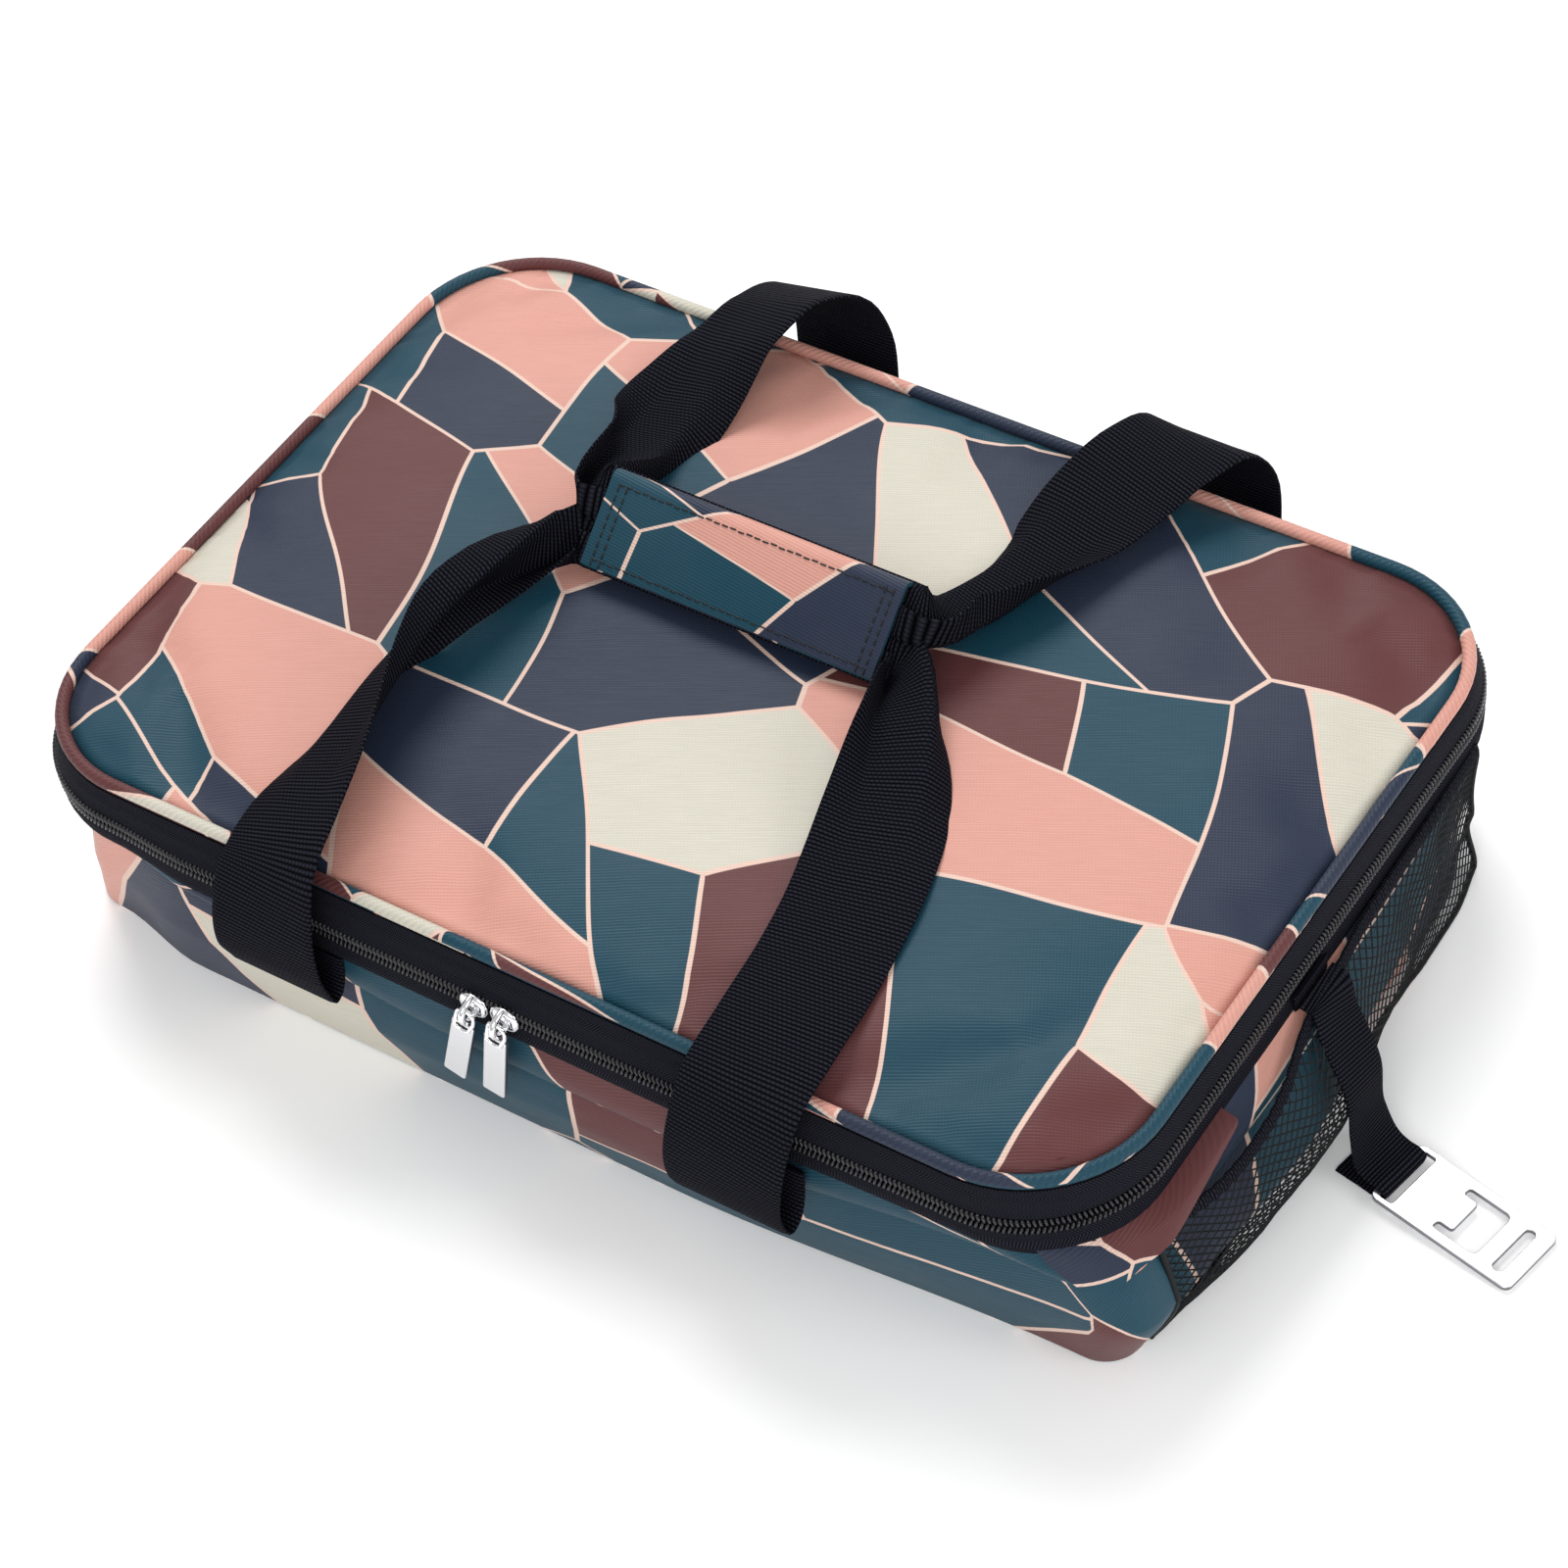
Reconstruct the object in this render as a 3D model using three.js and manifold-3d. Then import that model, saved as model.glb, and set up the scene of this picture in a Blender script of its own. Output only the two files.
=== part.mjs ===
// Collapsible cooler box, folded down to its low height with the lid zipped shut.
// Millimetres. +X runs along the front from left to right, +Y to the back, +Z up.
// The origin is the middle of the flat underside.

import * as THREE from "three";
import { mergeVertices } from "three/addons/utils/BufferGeometryUtils.js";
import Module from "manifold-3d";

const wasm = await Module();
wasm.setup();

// Driving dimensions: outlines and heights

const LID_LENGTH = 440;
const LID_WIDTH = 300;
const LID_CORNER = 50;
const BASE_INSET_SIDES = 3;
const BASE_INSET_FRONT = 12;
const BASE_CORNER = 14;
const BASE_CORNER_LEFT = 14;
const BASE_CORNER_BACK = 56;
const BASE_SHIFT = 5;
const BASE_BOW = 8.5;
const BELLY_HEIGHT = 24;
const BELLY_INSET_SIDES = 0.5;
const BELLY_INSET_FRONT = 7;
const BELLY_CORNER = 16;
const BELLY_CORNER_LEFT = 18;
const BELLY_CORNER_BACK = 60;
const BELLY_SHIFT = 10.5;
const BELLY_BOW = 10;
const CREASE_HEIGHT = 44;
const CREASE_INSET_SIDES = 4;
const CREASE_INSET_FRONT = 4;
const CREASE_CORNER = 20;
const CREASE_CORNER_LEFT = 26;
const CREASE_CORNER_BACK = 56;
const CREASE_SHIFT = 10;
const CREASE_BOW = 8;
const RIM_PROUD = 1;
const RIM_CORNER = 48;
const FOLDED_HEIGHT = 90;
const LID_SIDE_HEIGHT = 16.5;
const LID_CROWN = 5;
const CROWN_RUN = 45;
const RIM_BOW = 2.8;
const BOW_FULL_HALF = 90;
const BOW_HALF_HALF = 130;

// Driving dimensions: clearances, fabric and boards

const GAP = 0.3;
const PIPING_DIAMETER = 5;
const COVER_THICKNESS = 1.2;
const LINER_THICKNESS = 0.9;
const WALL_THICKNESS = 5;
const BASE_PANEL_THICKNESS = 2.4;
const BOARD_THICKNESS = 2.5;
const FLOOR_FOAM_THICKNESS = 8;
const FLOOR_INSET = 8;
const LINER_EDGE_INSET = 7;
const LID_FOAM_INSET = 3.5;
const FOLD_COUNT = 3;
const FOLD_DEPTH = 5;
const SLEEVE_THICKNESS = 3.5;
const SLEEVE_CLEARANCE = 0.8;

// Driving dimensions: zip

const TAPE_THICKNESS = 0.9;
const LOWER_TAPE_WIDTH = 7.2;
const TAPE_LAP = 2.2;
const COIL_HEIGHT = 3.1;
const COIL_DEPTH = 3.3;
const COIL_SET_BACK = 0.5;
const COIL_PARTING = 0.8;
const ZIP_END_X = 140;
const ZIP_STOP_LENGTH = 9;
const ZIP_STOP_HEIGHT = 9;
const ZIP_STOP_THICKNESS = 1.4;
const HINGE_STRIP_THICKNESS = 0.9;
const HINGE_STRIP_HEIGHT = 22;

// Driving dimensions: zip sliders and pulls

const SLIDER_LENGTH = 12;
const SLIDER_HEIGHT = 10;
const SLIDER_PLATE = 1.5;
const SLIDER_MEETING_X = -5;
const SLIDER_SPACE = 0.6;
const BAIL_BAR = 1.6;
const BAIL_SPAN = 9;
const EYE_BORE_RADIUS = 1.7;
const EYE_WALL = 1.2;
const EYE_WIDTH = 3.4;
const PULL_LENGTH = 36;
const PULL_WIDTH = 9.5;
const PULL_THICKNESS = 1.8;
const PULL_CORNER = 1.5;
const PULL_LEAN_LEFT = 23;
const PULL_LEAN_RIGHT = 15;

// Driving dimensions: mesh pockets

const POCKET_HALF_LENGTH = 114;
const POCKET_CENTRE_Y = -7;
const POCKET_BASE_Z = 3;
const POCKET_CLEARANCE = 2.8;
const NET_THICKNESS = 1;
const NET_COLUMNS = 19;
const NET_ROWS = 8;
const NET_STRAND = 2;
const NET_BORDER = 3;
const NET_LOW_BULGE = 8;
const NET_MID_BULGE = 14;
const NET_TOP_BULGE = 6;
const BINDING_HEIGHT = 5;
const BINDING_THICKNESS = 1.6;
const BINDING_STEPS = 16;

// Driving dimensions: carrying handles

const WEB_WIDTH = 45;
const WEB_THICKNESS = 1.6;
const WEB_FOLDED_THICKNESS = 5;
const WEB_STEPS = 20;
const TAIL_STEPS = 8;
const TAIL_RISE = 4.5;
const GRIP_LENGTH = 121;
const GRIP_CENTRE_X = -15;
const GRIP_CENTRE_Y = 22;
const GRIP_ROLL = 40;
const GRIP_ENTRY = 7;
const GRIP_ENTRY_PINCH = 3;
const GRIP_WEB_WIDTH = 16.5;
const GRIP_WEB_THICKNESS = 6.5;
const GRIP_PANEL = 1.2;
const GRIP_REST_GAP = 0.6;
const GRIP_LIP = 12;
const GRIP_TAPE_THICKNESS = 0.6;
const GRIP_TAPE_WIDTH = 9;

// Driving dimensions: bottle opener and its strap

const STRAP_WIDTH = 22;
const STRAP_THICKNESS = 1.4;
const STRAP_ROOT_Y = -12;
const STRAP_STEPS = 40;
const ANCHOR_HEIGHT = 8;
const LOOP_INNER_RADIUS = 2.1;
const LOOP_RETURN = 18;
const OPENER_LENGTH = 57.5;
const OPENER_WIDTH = 28;
const OPENER_THICKNESS = 2;
const OPENER_CORNER = 3;
const OPENER_SLOT_SPARE = 0.8;
const OPENER_BAR = 3;
const OPENER_SLOT = 5;
const OPENER_END_RAIL = 6;
const OPENER_FAR_SLOT = 4;
const OPENER_RAIL = 6.5;
const OPENER_MOUTH_LENGTH = 11.5;
const OPENER_MOUTH_WIDTH = 20;
const OPENER_NOTCH = 3;
const OPENER_NOTCH_DEPTH = 6;
const OPENER_HEADING = -11;
const OPENER_BAR_X = 263;
const OPENER_BAR_Y = -25.5;
const FLOOR_CLEARANCE = 0.3;

// Derived heights

const partingZ = FOLDED_HEIGHT - LID_SIDE_HEIGHT;
const upperCoilZ = partingZ + COIL_PARTING / 2;
const lowerCoilZ = partingZ - COIL_PARTING / 2 - COIL_HEIGHT;
const lowerTapeTopZ = lowerCoilZ - GAP;
const lowerTapeBottomZ = lowerTapeTopZ - LOWER_TAPE_WIDTH;
const rimTopZ = lowerTapeTopZ - TAPE_LAP;
const floorTopZ = BASE_PANEL_THICKNESS + BOARD_THICKNESS + FLOOR_FOAM_THICKNESS + LINER_THICKNESS + 3 * GAP;
const pipingRadius = PIPING_DIAMETER / 2;
const lidTopZ = FOLDED_HEIGHT + LID_CROWN;

// Outlines: rounded rectangles whose front side can bow outward. The soft body has slumped,
// so its lower outlines are shifted along x, and their corners have radii of their own.

const lidOutline = {
  l: LID_LENGTH / 2,
  w: LID_WIDTH / 2,
  r: LID_CORNER,
  leftR: LID_CORNER,
  backR: LID_CORNER,
  shift: 0,
  bow: 0,
};
const rimOutline = {
  l: lidOutline.l,
  w: lidOutline.w + RIM_PROUD,
  r: RIM_CORNER,
  leftR: RIM_CORNER,
  backR: RIM_CORNER,
  shift: 0,
  bow: RIM_BOW,
};
const bellyOutline = {
  l: lidOutline.l - BELLY_INSET_SIDES,
  w: lidOutline.w - BELLY_INSET_FRONT,
  r: BELLY_CORNER,
  leftR: BELLY_CORNER_LEFT,
  backR: BELLY_CORNER_BACK,
  shift: BELLY_SHIFT,
  bow: BELLY_BOW,
};
const creaseOutline = {
  l: lidOutline.l - CREASE_INSET_SIDES,
  w: lidOutline.w - CREASE_INSET_FRONT,
  r: CREASE_CORNER,
  leftR: CREASE_CORNER_LEFT,
  backR: CREASE_CORNER_BACK,
  shift: CREASE_SHIFT,
  bow: CREASE_BOW,
};
const baseOutline = {
  l: lidOutline.l - BASE_INSET_SIDES,
  w: lidOutline.w - BASE_INSET_FRONT,
  r: BASE_CORNER,
  leftR: BASE_CORNER_LEFT,
  backR: BASE_CORNER_BACK,
  shift: BASE_SHIFT,
  bow: BASE_BOW,
};
const CORNER_STEPS = 5;
const LEAST_CORNER = 2;

function mixOutlines(a, b, t) {
  const mix = (key) => THREE.MathUtils.lerp(a[key], b[key], t);
  return {
    l: mix("l"),
    w: mix("w"),
    r: mix("r"),
    leftR: mix("leftR"),
    backR: mix("backR"),
    shift: mix("shift"),
    bow: mix("bow"),
  };
}

// The body's outer outline at a height: base, belly, crease, rim, then straight up
const bodyOutlines = [
  [0, baseOutline],
  [BELLY_HEIGHT, bellyOutline],
  [CREASE_HEIGHT, creaseOutline],
  [rimTopZ, rimOutline],
];

function bodyOutline(z) {
  const above = bodyOutlines.findIndex(([height]) => height > z);
  if (above < 0) {
    return rimOutline;
  }
  const [lowZ, low] = bodyOutlines[above - 1];
  const [highZ, high] = bodyOutlines[above];
  return mixOutlines(low, high, (z - lowZ) / (highZ - lowZ));
}

function offsetOutline(outline, offset) {
  return {
    ...outline,
    l: outline.l + offset,
    w: outline.w + offset,
    r: Math.max(LEAST_CORNER, outline.r + offset),
    leftR: Math.max(LEAST_CORNER, outline.leftR + offset),
    backR: Math.max(LEAST_CORNER, outline.backR + offset),
  };
}

// A level is an outline's ring of points at one height
function bodyLevel(z, offset = 0) {
  return levelPoints(offsetOutline(bodyOutline(z), offset), z);
}

function lidLevel(z, offset = 0) {
  return levelPoints(offsetOutline(lidOutline, offset), z);
}

// Points run from the back's left zip end round the front to its right zip end
function levelPoints({ l, w, r, leftR, backR, shift, bow }, z) {
  const points = [new THREE.Vector3(-ZIP_END_X, w, z)];
  const corner = (cx, cy, radius, startAngle) => {
    for (let step = 0; step <= CORNER_STEPS; step += 1) {
      const angle = startAngle + (Math.PI / 2) * (step / CORNER_STEPS);
      const x = shift + cx + radius * Math.cos(angle);
      points.push(new THREE.Vector3(x, cy + radius * Math.sin(angle), z));
    }
  };
  corner(-(l - leftR), w - leftR, leftR, Math.PI / 2);
  corner(-(l - leftR), -(w - leftR), leftR, Math.PI);
  points.push(new THREE.Vector3(-BOW_HALF_HALF, -w - bow / 2, z));
  points.push(new THREE.Vector3(-BOW_FULL_HALF, -w - bow, z));
  points.push(new THREE.Vector3(BOW_FULL_HALF, -w - bow, z));
  points.push(new THREE.Vector3(BOW_HALF_HALF, -w - bow / 2, z));
  corner(l - r, -(w - r), r, 1.5 * Math.PI);
  corner(l - backR, w - backR, backR, 0);
  points.push(new THREE.Vector3(ZIP_END_X, w, z));
  return points;
}

// Lofted solids. Row i of the grid is a closed section; its points turn so that
// the first section faces back along the path.

function addQuads(triangles, rows, columns, wrapRows, wrapColumns) {
  const lastRow = wrapRows ? rows : rows - 1;
  const lastColumn = wrapColumns ? columns : columns - 1;
  for (let i = 0; i < lastRow; i += 1) {
    for (let k = 0; k < lastColumn; k += 1) {
      const a = i * columns + k;
      const b = ((i + 1) % rows) * columns + k;
      const c = ((i + 1) % rows) * columns + ((k + 1) % columns);
      const d = i * columns + ((k + 1) % columns);
      triangles.push(a, b, c, a, c, d);
    }
  }
}

function indexedGeometry(points, triangles) {
  const geometry = new THREE.BufferGeometry();
  const positions = points.flatMap((p) => [p.x, p.y, p.z]);
  geometry.setAttribute("position", new THREE.Float32BufferAttribute(positions, 3));
  geometry.setIndex(triangles);
  return geometry;
}

// A bar of one section swept along an open path, with flat ends
function sweptBar(sections) {
  const columns = sections[0].length;
  const triangles = [];
  addQuads(triangles, sections.length, columns, false, true);
  const last = (sections.length - 1) * columns;
  for (let k = 1; k < columns - 1; k += 1) {
    triangles.push(0, k, k + 1, last, last + k + 1, last + k);
  }
  return indexedGeometry(sections.flat(), triangles);
}

// Sections along the outline, from levels listed outer bottom, outer top, inner top, inner bottom
function sectionsOfLevels(levels) {
  return levels[0].map((_, i) => levels.map((level) => level[i]));
}

// A closed ring round the whole outline
function ring(levels) {
  const sections = sectionsOfLevels(levels);
  const triangles = [];
  addQuads(triangles, sections.length, levels.length, true, true);
  return indexedGeometry(sections.flat(), triangles);
}

// A band round the outline that stays open along the hinge at the back
function openBand(levels) {
  return sweptBar(sectionsOfLevels(levels));
}

// A filled solid whose surface runs from the first level, capped, to the last level, capped
function stack(levels) {
  const sections = sectionsOfLevels(levels);
  const rows = sections.length;
  const columns = levels.length;
  const points = sections.flat();
  const triangles = [];
  addQuads(triangles, rows, columns, true, false);
  const bottomCentre = points.length;
  points.push(new THREE.Vector3(0, 0, levels[0][0].z));
  const topCentre = points.length;
  points.push(new THREE.Vector3(0, 0, levels[columns - 1][0].z));
  for (let i = 0; i < rows; i += 1) {
    const next = (i + 1) % rows;
    triangles.push(bottomCentre, next * columns, i * columns);
    triangles.push(topCentre, i * columns + columns - 1, next * columns + columns - 1);
  }
  return indexedGeometry(points, triangles);
}

// A webbing strip through stations that give its centre, the way its width points,
// its width and its thickness
function webbing(stations, steps) {
  const curve = new THREE.CatmullRomCurve3(stations.map((s) => s.at), false, "centripetal");
  const sections = [];
  for (let step = 0; step <= steps; step += 1) {
    const t = step / steps;
    const place = t * (stations.length - 1);
    const index = Math.min(Math.floor(place), stations.length - 2);
    const before = stations[index];
    const after = stations[index + 1];
    const share = place - index;
    const centre = curve.getPoint(t);
    const tangent = curve.getTangent(t);
    const side = before.side.clone().lerp(after.side, share);
    side.addScaledVector(tangent, -side.dot(tangent)).normalize();
    const normal = new THREE.Vector3().crossVectors(side, tangent);
    side.multiplyScalar(THREE.MathUtils.lerp(before.width, after.width, share) / 2);
    normal.multiplyScalar(THREE.MathUtils.lerp(before.thickness, after.thickness, share) / 2);
    sections.push([
      centre.clone().add(side).add(normal),
      centre.clone().sub(side).add(normal),
      centre.clone().sub(side).sub(normal),
      centre.clone().add(side).sub(normal),
    ]);
  }
  return sweptBar(sections);
}

function station(x, y, z, side, width = WEB_WIDTH, thickness = WEB_THICKNESS) {
  return { at: new THREE.Vector3(x, y, z), side, width, thickness };
}

// Joining with manifold-3d

function toSolid(geometry) {
  const bare = geometry.clone();
  bare.deleteAttribute("normal");
  bare.deleteAttribute("uv");
  const merged = mergeVertices(bare);
  return new wasm.Manifold(new wasm.Mesh({
    numProp: 3,
    vertProperties: new Float32Array(merged.attributes.position.array),
    triVerts: new Uint32Array(merged.index.array),
  }));
}

function joined(...geometries) {
  const solid = geometries.map(toSolid).reduce((a, b) => a.add(b));
  const mesh = solid.getMesh();
  const geometry = new THREE.BufferGeometry();
  geometry.setAttribute("position", new THREE.Float32BufferAttribute(mesh.vertProperties, 3));
  geometry.setIndex(Array.from(mesh.triVerts));
  return geometry;
}

// Box placed by its lowest and highest corners
function boxBetween(low, high) {
  const size = high.map((value, axis) => value - low[axis]);
  const middle = high.map((value, axis) => (value + low[axis]) / 2);
  return new THREE.BoxGeometry(...size).translate(...middle);
}

function roundedRectangle(x0, y0, x1, y1, radius, Path = THREE.Shape) {
  const shape = new Path();
  shape.moveTo(x0 + radius, y0);
  shape.lineTo(x1 - radius, y0);
  shape.absarc(x1 - radius, y0 + radius, radius, -Math.PI / 2, 0);
  shape.lineTo(x1, y1 - radius);
  shape.absarc(x1 - radius, y1 - radius, radius, 0, Math.PI / 2);
  shape.lineTo(x0 + radius, y1);
  shape.absarc(x0 + radius, y1 - radius, radius, Math.PI / 2, Math.PI);
  shape.lineTo(x0, y0 + radius);
  shape.absarc(x0 + radius, y0 + radius, radius, Math.PI, 1.5 * Math.PI);
  return shape;
}

function extruded(shape, depth, curveSegments = 3) {
  return new THREE.ExtrudeGeometry(shape, { depth, bevelEnabled: false, curveSegments });
}

// Finishes, from the photographed colours

function finish(color, roughness, metalness = 0) {
  return new THREE.MeshStandardMaterial({ color, roughness, metalness });
}

const printedFabric = finish(0x24454f, 0.55);
const piping = finish(0x6b4a4c, 0.55);
const gripFabric = finish(0x5f4142, 0.55);
const blackWebbing = finish(0x0c0c10, 0.8);
const blackTape = finish(0x101014, 0.75);
const coilPlastic = finish(0x141416, 0.35);
const blackNet = finish(0x1b2228, 0.7);
const silverLiner = finish(0xc8ccd0, 0.3, 0.4);
const paleFoam = finish(0xe9e9e4, 0.9);
const boardPlastic = finish(0x3a3d42, 0.6);
const chrome = finish(0xd9dadd, 0.12, 1);
const satinSteel = finish(0xcfd2dc, 0.35, 1);

const cooler = new THREE.Group();

function addPart(name, geometry, material, parent = cooler) {
  const mesh = new THREE.Mesh(geometry, material);
  mesh.name = name;
  parent.add(mesh);
  return mesh;
}

// Base: outer panel, stiff board, foam and liner floor

function addBase() {
  const boardZ = BASE_PANEL_THICKNESS + GAP;
  const foamZ = boardZ + BOARD_THICKNESS + GAP;
  const linerZ = foamZ + FLOOR_FOAM_THICKNESS + GAP;
  const slab = (z, thickness, inset) => stack([
    levelPoints(offsetOutline(baseOutline, -inset), z),
    levelPoints(offsetOutline(baseOutline, -inset), z + thickness),
  ]);
  addPart("base_panel", slab(0, BASE_PANEL_THICKNESS, 0), printedFabric);
  addPart("base_board", slab(boardZ, BOARD_THICKNESS, FLOOR_INSET), boardPlastic);
  addPart("base_foam", slab(foamZ, FLOOR_FOAM_THICKNESS, FLOOR_INSET), paleFoam);
  addPart("floor_liner", slab(linerZ, LINER_THICKNESS, FLOOR_INSET), silverLiner);
}

// A plain wall ring that passes through the given heights, measured inward from the body outline
function wallRing(...heights) {
  const outer = heights.map((z) => bodyLevel(z));
  const inner = heights.map((z) => bodyLevel(z, -WALL_THICKNESS));
  return ring([...outer, ...inner.reverse()]);
}

// A ring folded like a bellows between the floor and the rim
function foldedRing(outerOffset, thickness) {
  const lowZ = floorTopZ + GAP;
  const highZ = rimTopZ - GAP;
  const creases = 2 * FOLD_COUNT;
  const place = (index, inward) => {
    const fold = index % 2 === 1 ? FOLD_DEPTH : 0;
    const z = THREE.MathUtils.lerp(lowZ, highZ, index / creases);
    return bodyLevel(z, outerOffset - fold - inward);
  };
  const levels = [];
  for (let index = 0; index <= creases; index += 1) {
    levels.push(place(index, 0));
  }
  for (let index = creases; index >= 0; index -= 1) {
    levels.push(place(index, thickness));
  }
  return ring(levels);
}

function addWalls() {
  const seam = GAP / 2;
  const lowerWall = wallRing(BASE_PANEL_THICKNESS + GAP, BELLY_HEIGHT, CREASE_HEIGHT - seam);
  addPart("lower_wall", lowerWall, printedFabric);
  addPart("rim_wall", wallRing(CREASE_HEIGHT + seam, lowerTapeBottomZ, rimTopZ), printedFabric);
  addPart("rim_binding", wallRing(rimTopZ + GAP, lowerTapeTopZ), blackTape);
  const sleeveOffset = -(WALL_THICKNESS + SLEEVE_CLEARANCE);
  addPart("fold_insulation", foldedRing(sleeveOffset, SLEEVE_THICKNESS), paleFoam);
  const linerOffset = sleeveOffset - SLEEVE_THICKNESS - SLEEVE_CLEARANCE;
  addPart("fold_liner", foldedRing(linerOffset, LINER_THICKNESS), silverLiner);
}

// Lid: liner, foam, domed cover and piping

function addLid() {
  const linerZ = upperCoilZ;
  const foamZ = linerZ + LINER_THICKNESS + GAP;
  const pipingInside = -(PIPING_DIAMETER + GAP);
  const edgeZ = FOLDED_HEIGHT - pipingRadius / 2;
  const foamShoulderZ = FOLDED_HEIGHT - pipingRadius - 2 * GAP;
  addPart("lid_liner", stack([
    lidLevel(linerZ, -LINER_EDGE_INSET),
    lidLevel(linerZ + LINER_THICKNESS, -LINER_EDGE_INSET),
  ]), silverLiner);
  addPart("lid_foam", stack([
    lidLevel(foamZ, -LID_FOAM_INSET),
    lidLevel(foamShoulderZ, -LID_FOAM_INSET),
    lidLevel(edgeZ - 2 * GAP, pipingInside - 1),
    lidLevel(lidTopZ - COVER_THICKNESS - GAP, -CROWN_RUN),
  ]), paleFoam);
  addPart("lid_cover", stack([
    lidLevel(lidTopZ - COVER_THICKNESS, -CROWN_RUN),
    lidLevel(edgeZ, pipingInside),
    lidLevel(edgeZ + COVER_THICKNESS, pipingInside),
    lidLevel(lidTopZ, -CROWN_RUN),
  ]), printedFabric);
  const pipingSides = 6;
  const pipingLevels = Array.from({ length: pipingSides }, (_, side) => {
    const angle = (2 * Math.PI * side) / pipingSides;
    return lidLevel(FOLDED_HEIGHT + pipingRadius * Math.sin(angle), pipingRadius * (Math.cos(angle) - 1));
  });
  addPart("lid_piping", ring(pipingLevels), piping);
}

// Zip: two tapes and two coil rows, open along the hinge, with a stop at each end

function addZip() {
  const tapeIn = GAP;
  const tapeOut = GAP + TAPE_THICKNESS;
  const upperTapeTopZ = FOLDED_HEIGHT - pipingRadius - GAP;
  const upperTapeBottomZ = upperCoilZ + COIL_HEIGHT + GAP;
  const coil = (z) => openBand([
    bodyLevel(z, COIL_DEPTH - COIL_SET_BACK),
    bodyLevel(z + COIL_HEIGHT, COIL_DEPTH - COIL_SET_BACK),
    bodyLevel(z + COIL_HEIGHT, -COIL_SET_BACK),
    bodyLevel(z, -COIL_SET_BACK),
  ]);
  addPart("zip_tape_lower", openBand([
    bodyLevel(lowerTapeBottomZ, tapeOut),
    bodyLevel(rimTopZ, tapeOut),
    bodyLevel(lowerTapeTopZ, tapeOut),
    bodyLevel(lowerTapeTopZ, tapeIn),
    bodyLevel(rimTopZ, tapeIn),
    bodyLevel(lowerTapeBottomZ, tapeIn),
  ]), blackTape);
  addPart("zip_coil_lower", coil(lowerCoilZ), coilPlastic);
  addPart("zip_coil_upper", coil(upperCoilZ), coilPlastic);
  addPart("zip_tape_upper", openBand([
    bodyLevel(upperTapeBottomZ, tapeOut),
    lidLevel(upperTapeTopZ, -GAP),
    lidLevel(upperTapeTopZ, -GAP - TAPE_THICKNESS),
    bodyLevel(upperTapeBottomZ, tapeIn),
  ]), blackTape);

  const backY = bodyOutline(rimTopZ).w;
  const stopZ = lowerTapeTopZ - ZIP_STOP_HEIGHT;
  for (const [name, side] of [["zip_stop_left", -1], ["zip_stop_right", 1]]) {
    const middleX = side * (ZIP_END_X + ZIP_STOP_LENGTH / 2);
    addPart(name, boxBetween(
      [middleX - ZIP_STOP_LENGTH / 2, backY + tapeOut + GAP, stopZ],
      [middleX + ZIP_STOP_LENGTH / 2, backY + tapeOut + GAP + ZIP_STOP_THICKNESS, stopZ + ZIP_STOP_HEIGHT],
    ), blackTape);
  }

  const stripZ = partingZ - HINGE_STRIP_HEIGHT / 2;
  addPart("lid_hinge_strip", boxBetween(
    [-ZIP_END_X + GAP, backY + GAP, stripZ],
    [ZIP_END_X - GAP, backY + GAP + HINGE_STRIP_THICKNESS, stripZ + HINGE_STRIP_HEIGHT],
  ), blackTape);
}

// Zip sliders: a front plate hooked over the lower coil, with a bail for the pull

const zipFrontY = -(rimOutline.w + rimOutline.bow);
const sliderBackY = zipFrontY - (COIL_DEPTH - COIL_SET_BACK) - GAP;
const sliderFrontY = sliderBackY - SLIDER_PLATE;
const bailY = sliderFrontY - EYE_BORE_RADIUS - EYE_WALL - GAP;

function sliderGeometry() {
  const half = SLIDER_LENGTH / 2;
  const lowZ = partingZ - SLIDER_HEIGHT / 2;
  const highZ = partingZ + SLIDER_HEIGHT / 2;
  const plateShape = roundedRectangle(-half, lowZ, half, highZ, half / 2);
  const plate = extruded(plateShape, SLIDER_PLATE).rotateX(Math.PI / 2).translate(0, sliderBackY, 0);
  const hook = boxBetween(
    [-half / 2, sliderFrontY, lowZ],
    [half / 2, zipFrontY - GAP - TAPE_THICKNESS - GAP, lowerCoilZ - GAP],
  );
  const legReach = BAIL_SPAN / 2;
  const bar = boxBetween(
    [-legReach, bailY - BAIL_BAR / 2, partingZ - BAIL_BAR / 2],
    [legReach, bailY + BAIL_BAR / 2, partingZ + BAIL_BAR / 2],
  );
  const legs = [-1, 1].map((side) => boxBetween(
    [side * legReach - BAIL_BAR / 2, bailY - BAIL_BAR / 2, partingZ - BAIL_BAR / 2],
    [side * legReach + BAIL_BAR / 2, sliderBackY - SLIDER_PLATE / 2, partingZ + BAIL_BAR / 2],
  ));
  return joined(plate, hook, bar, ...legs);
}

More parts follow.
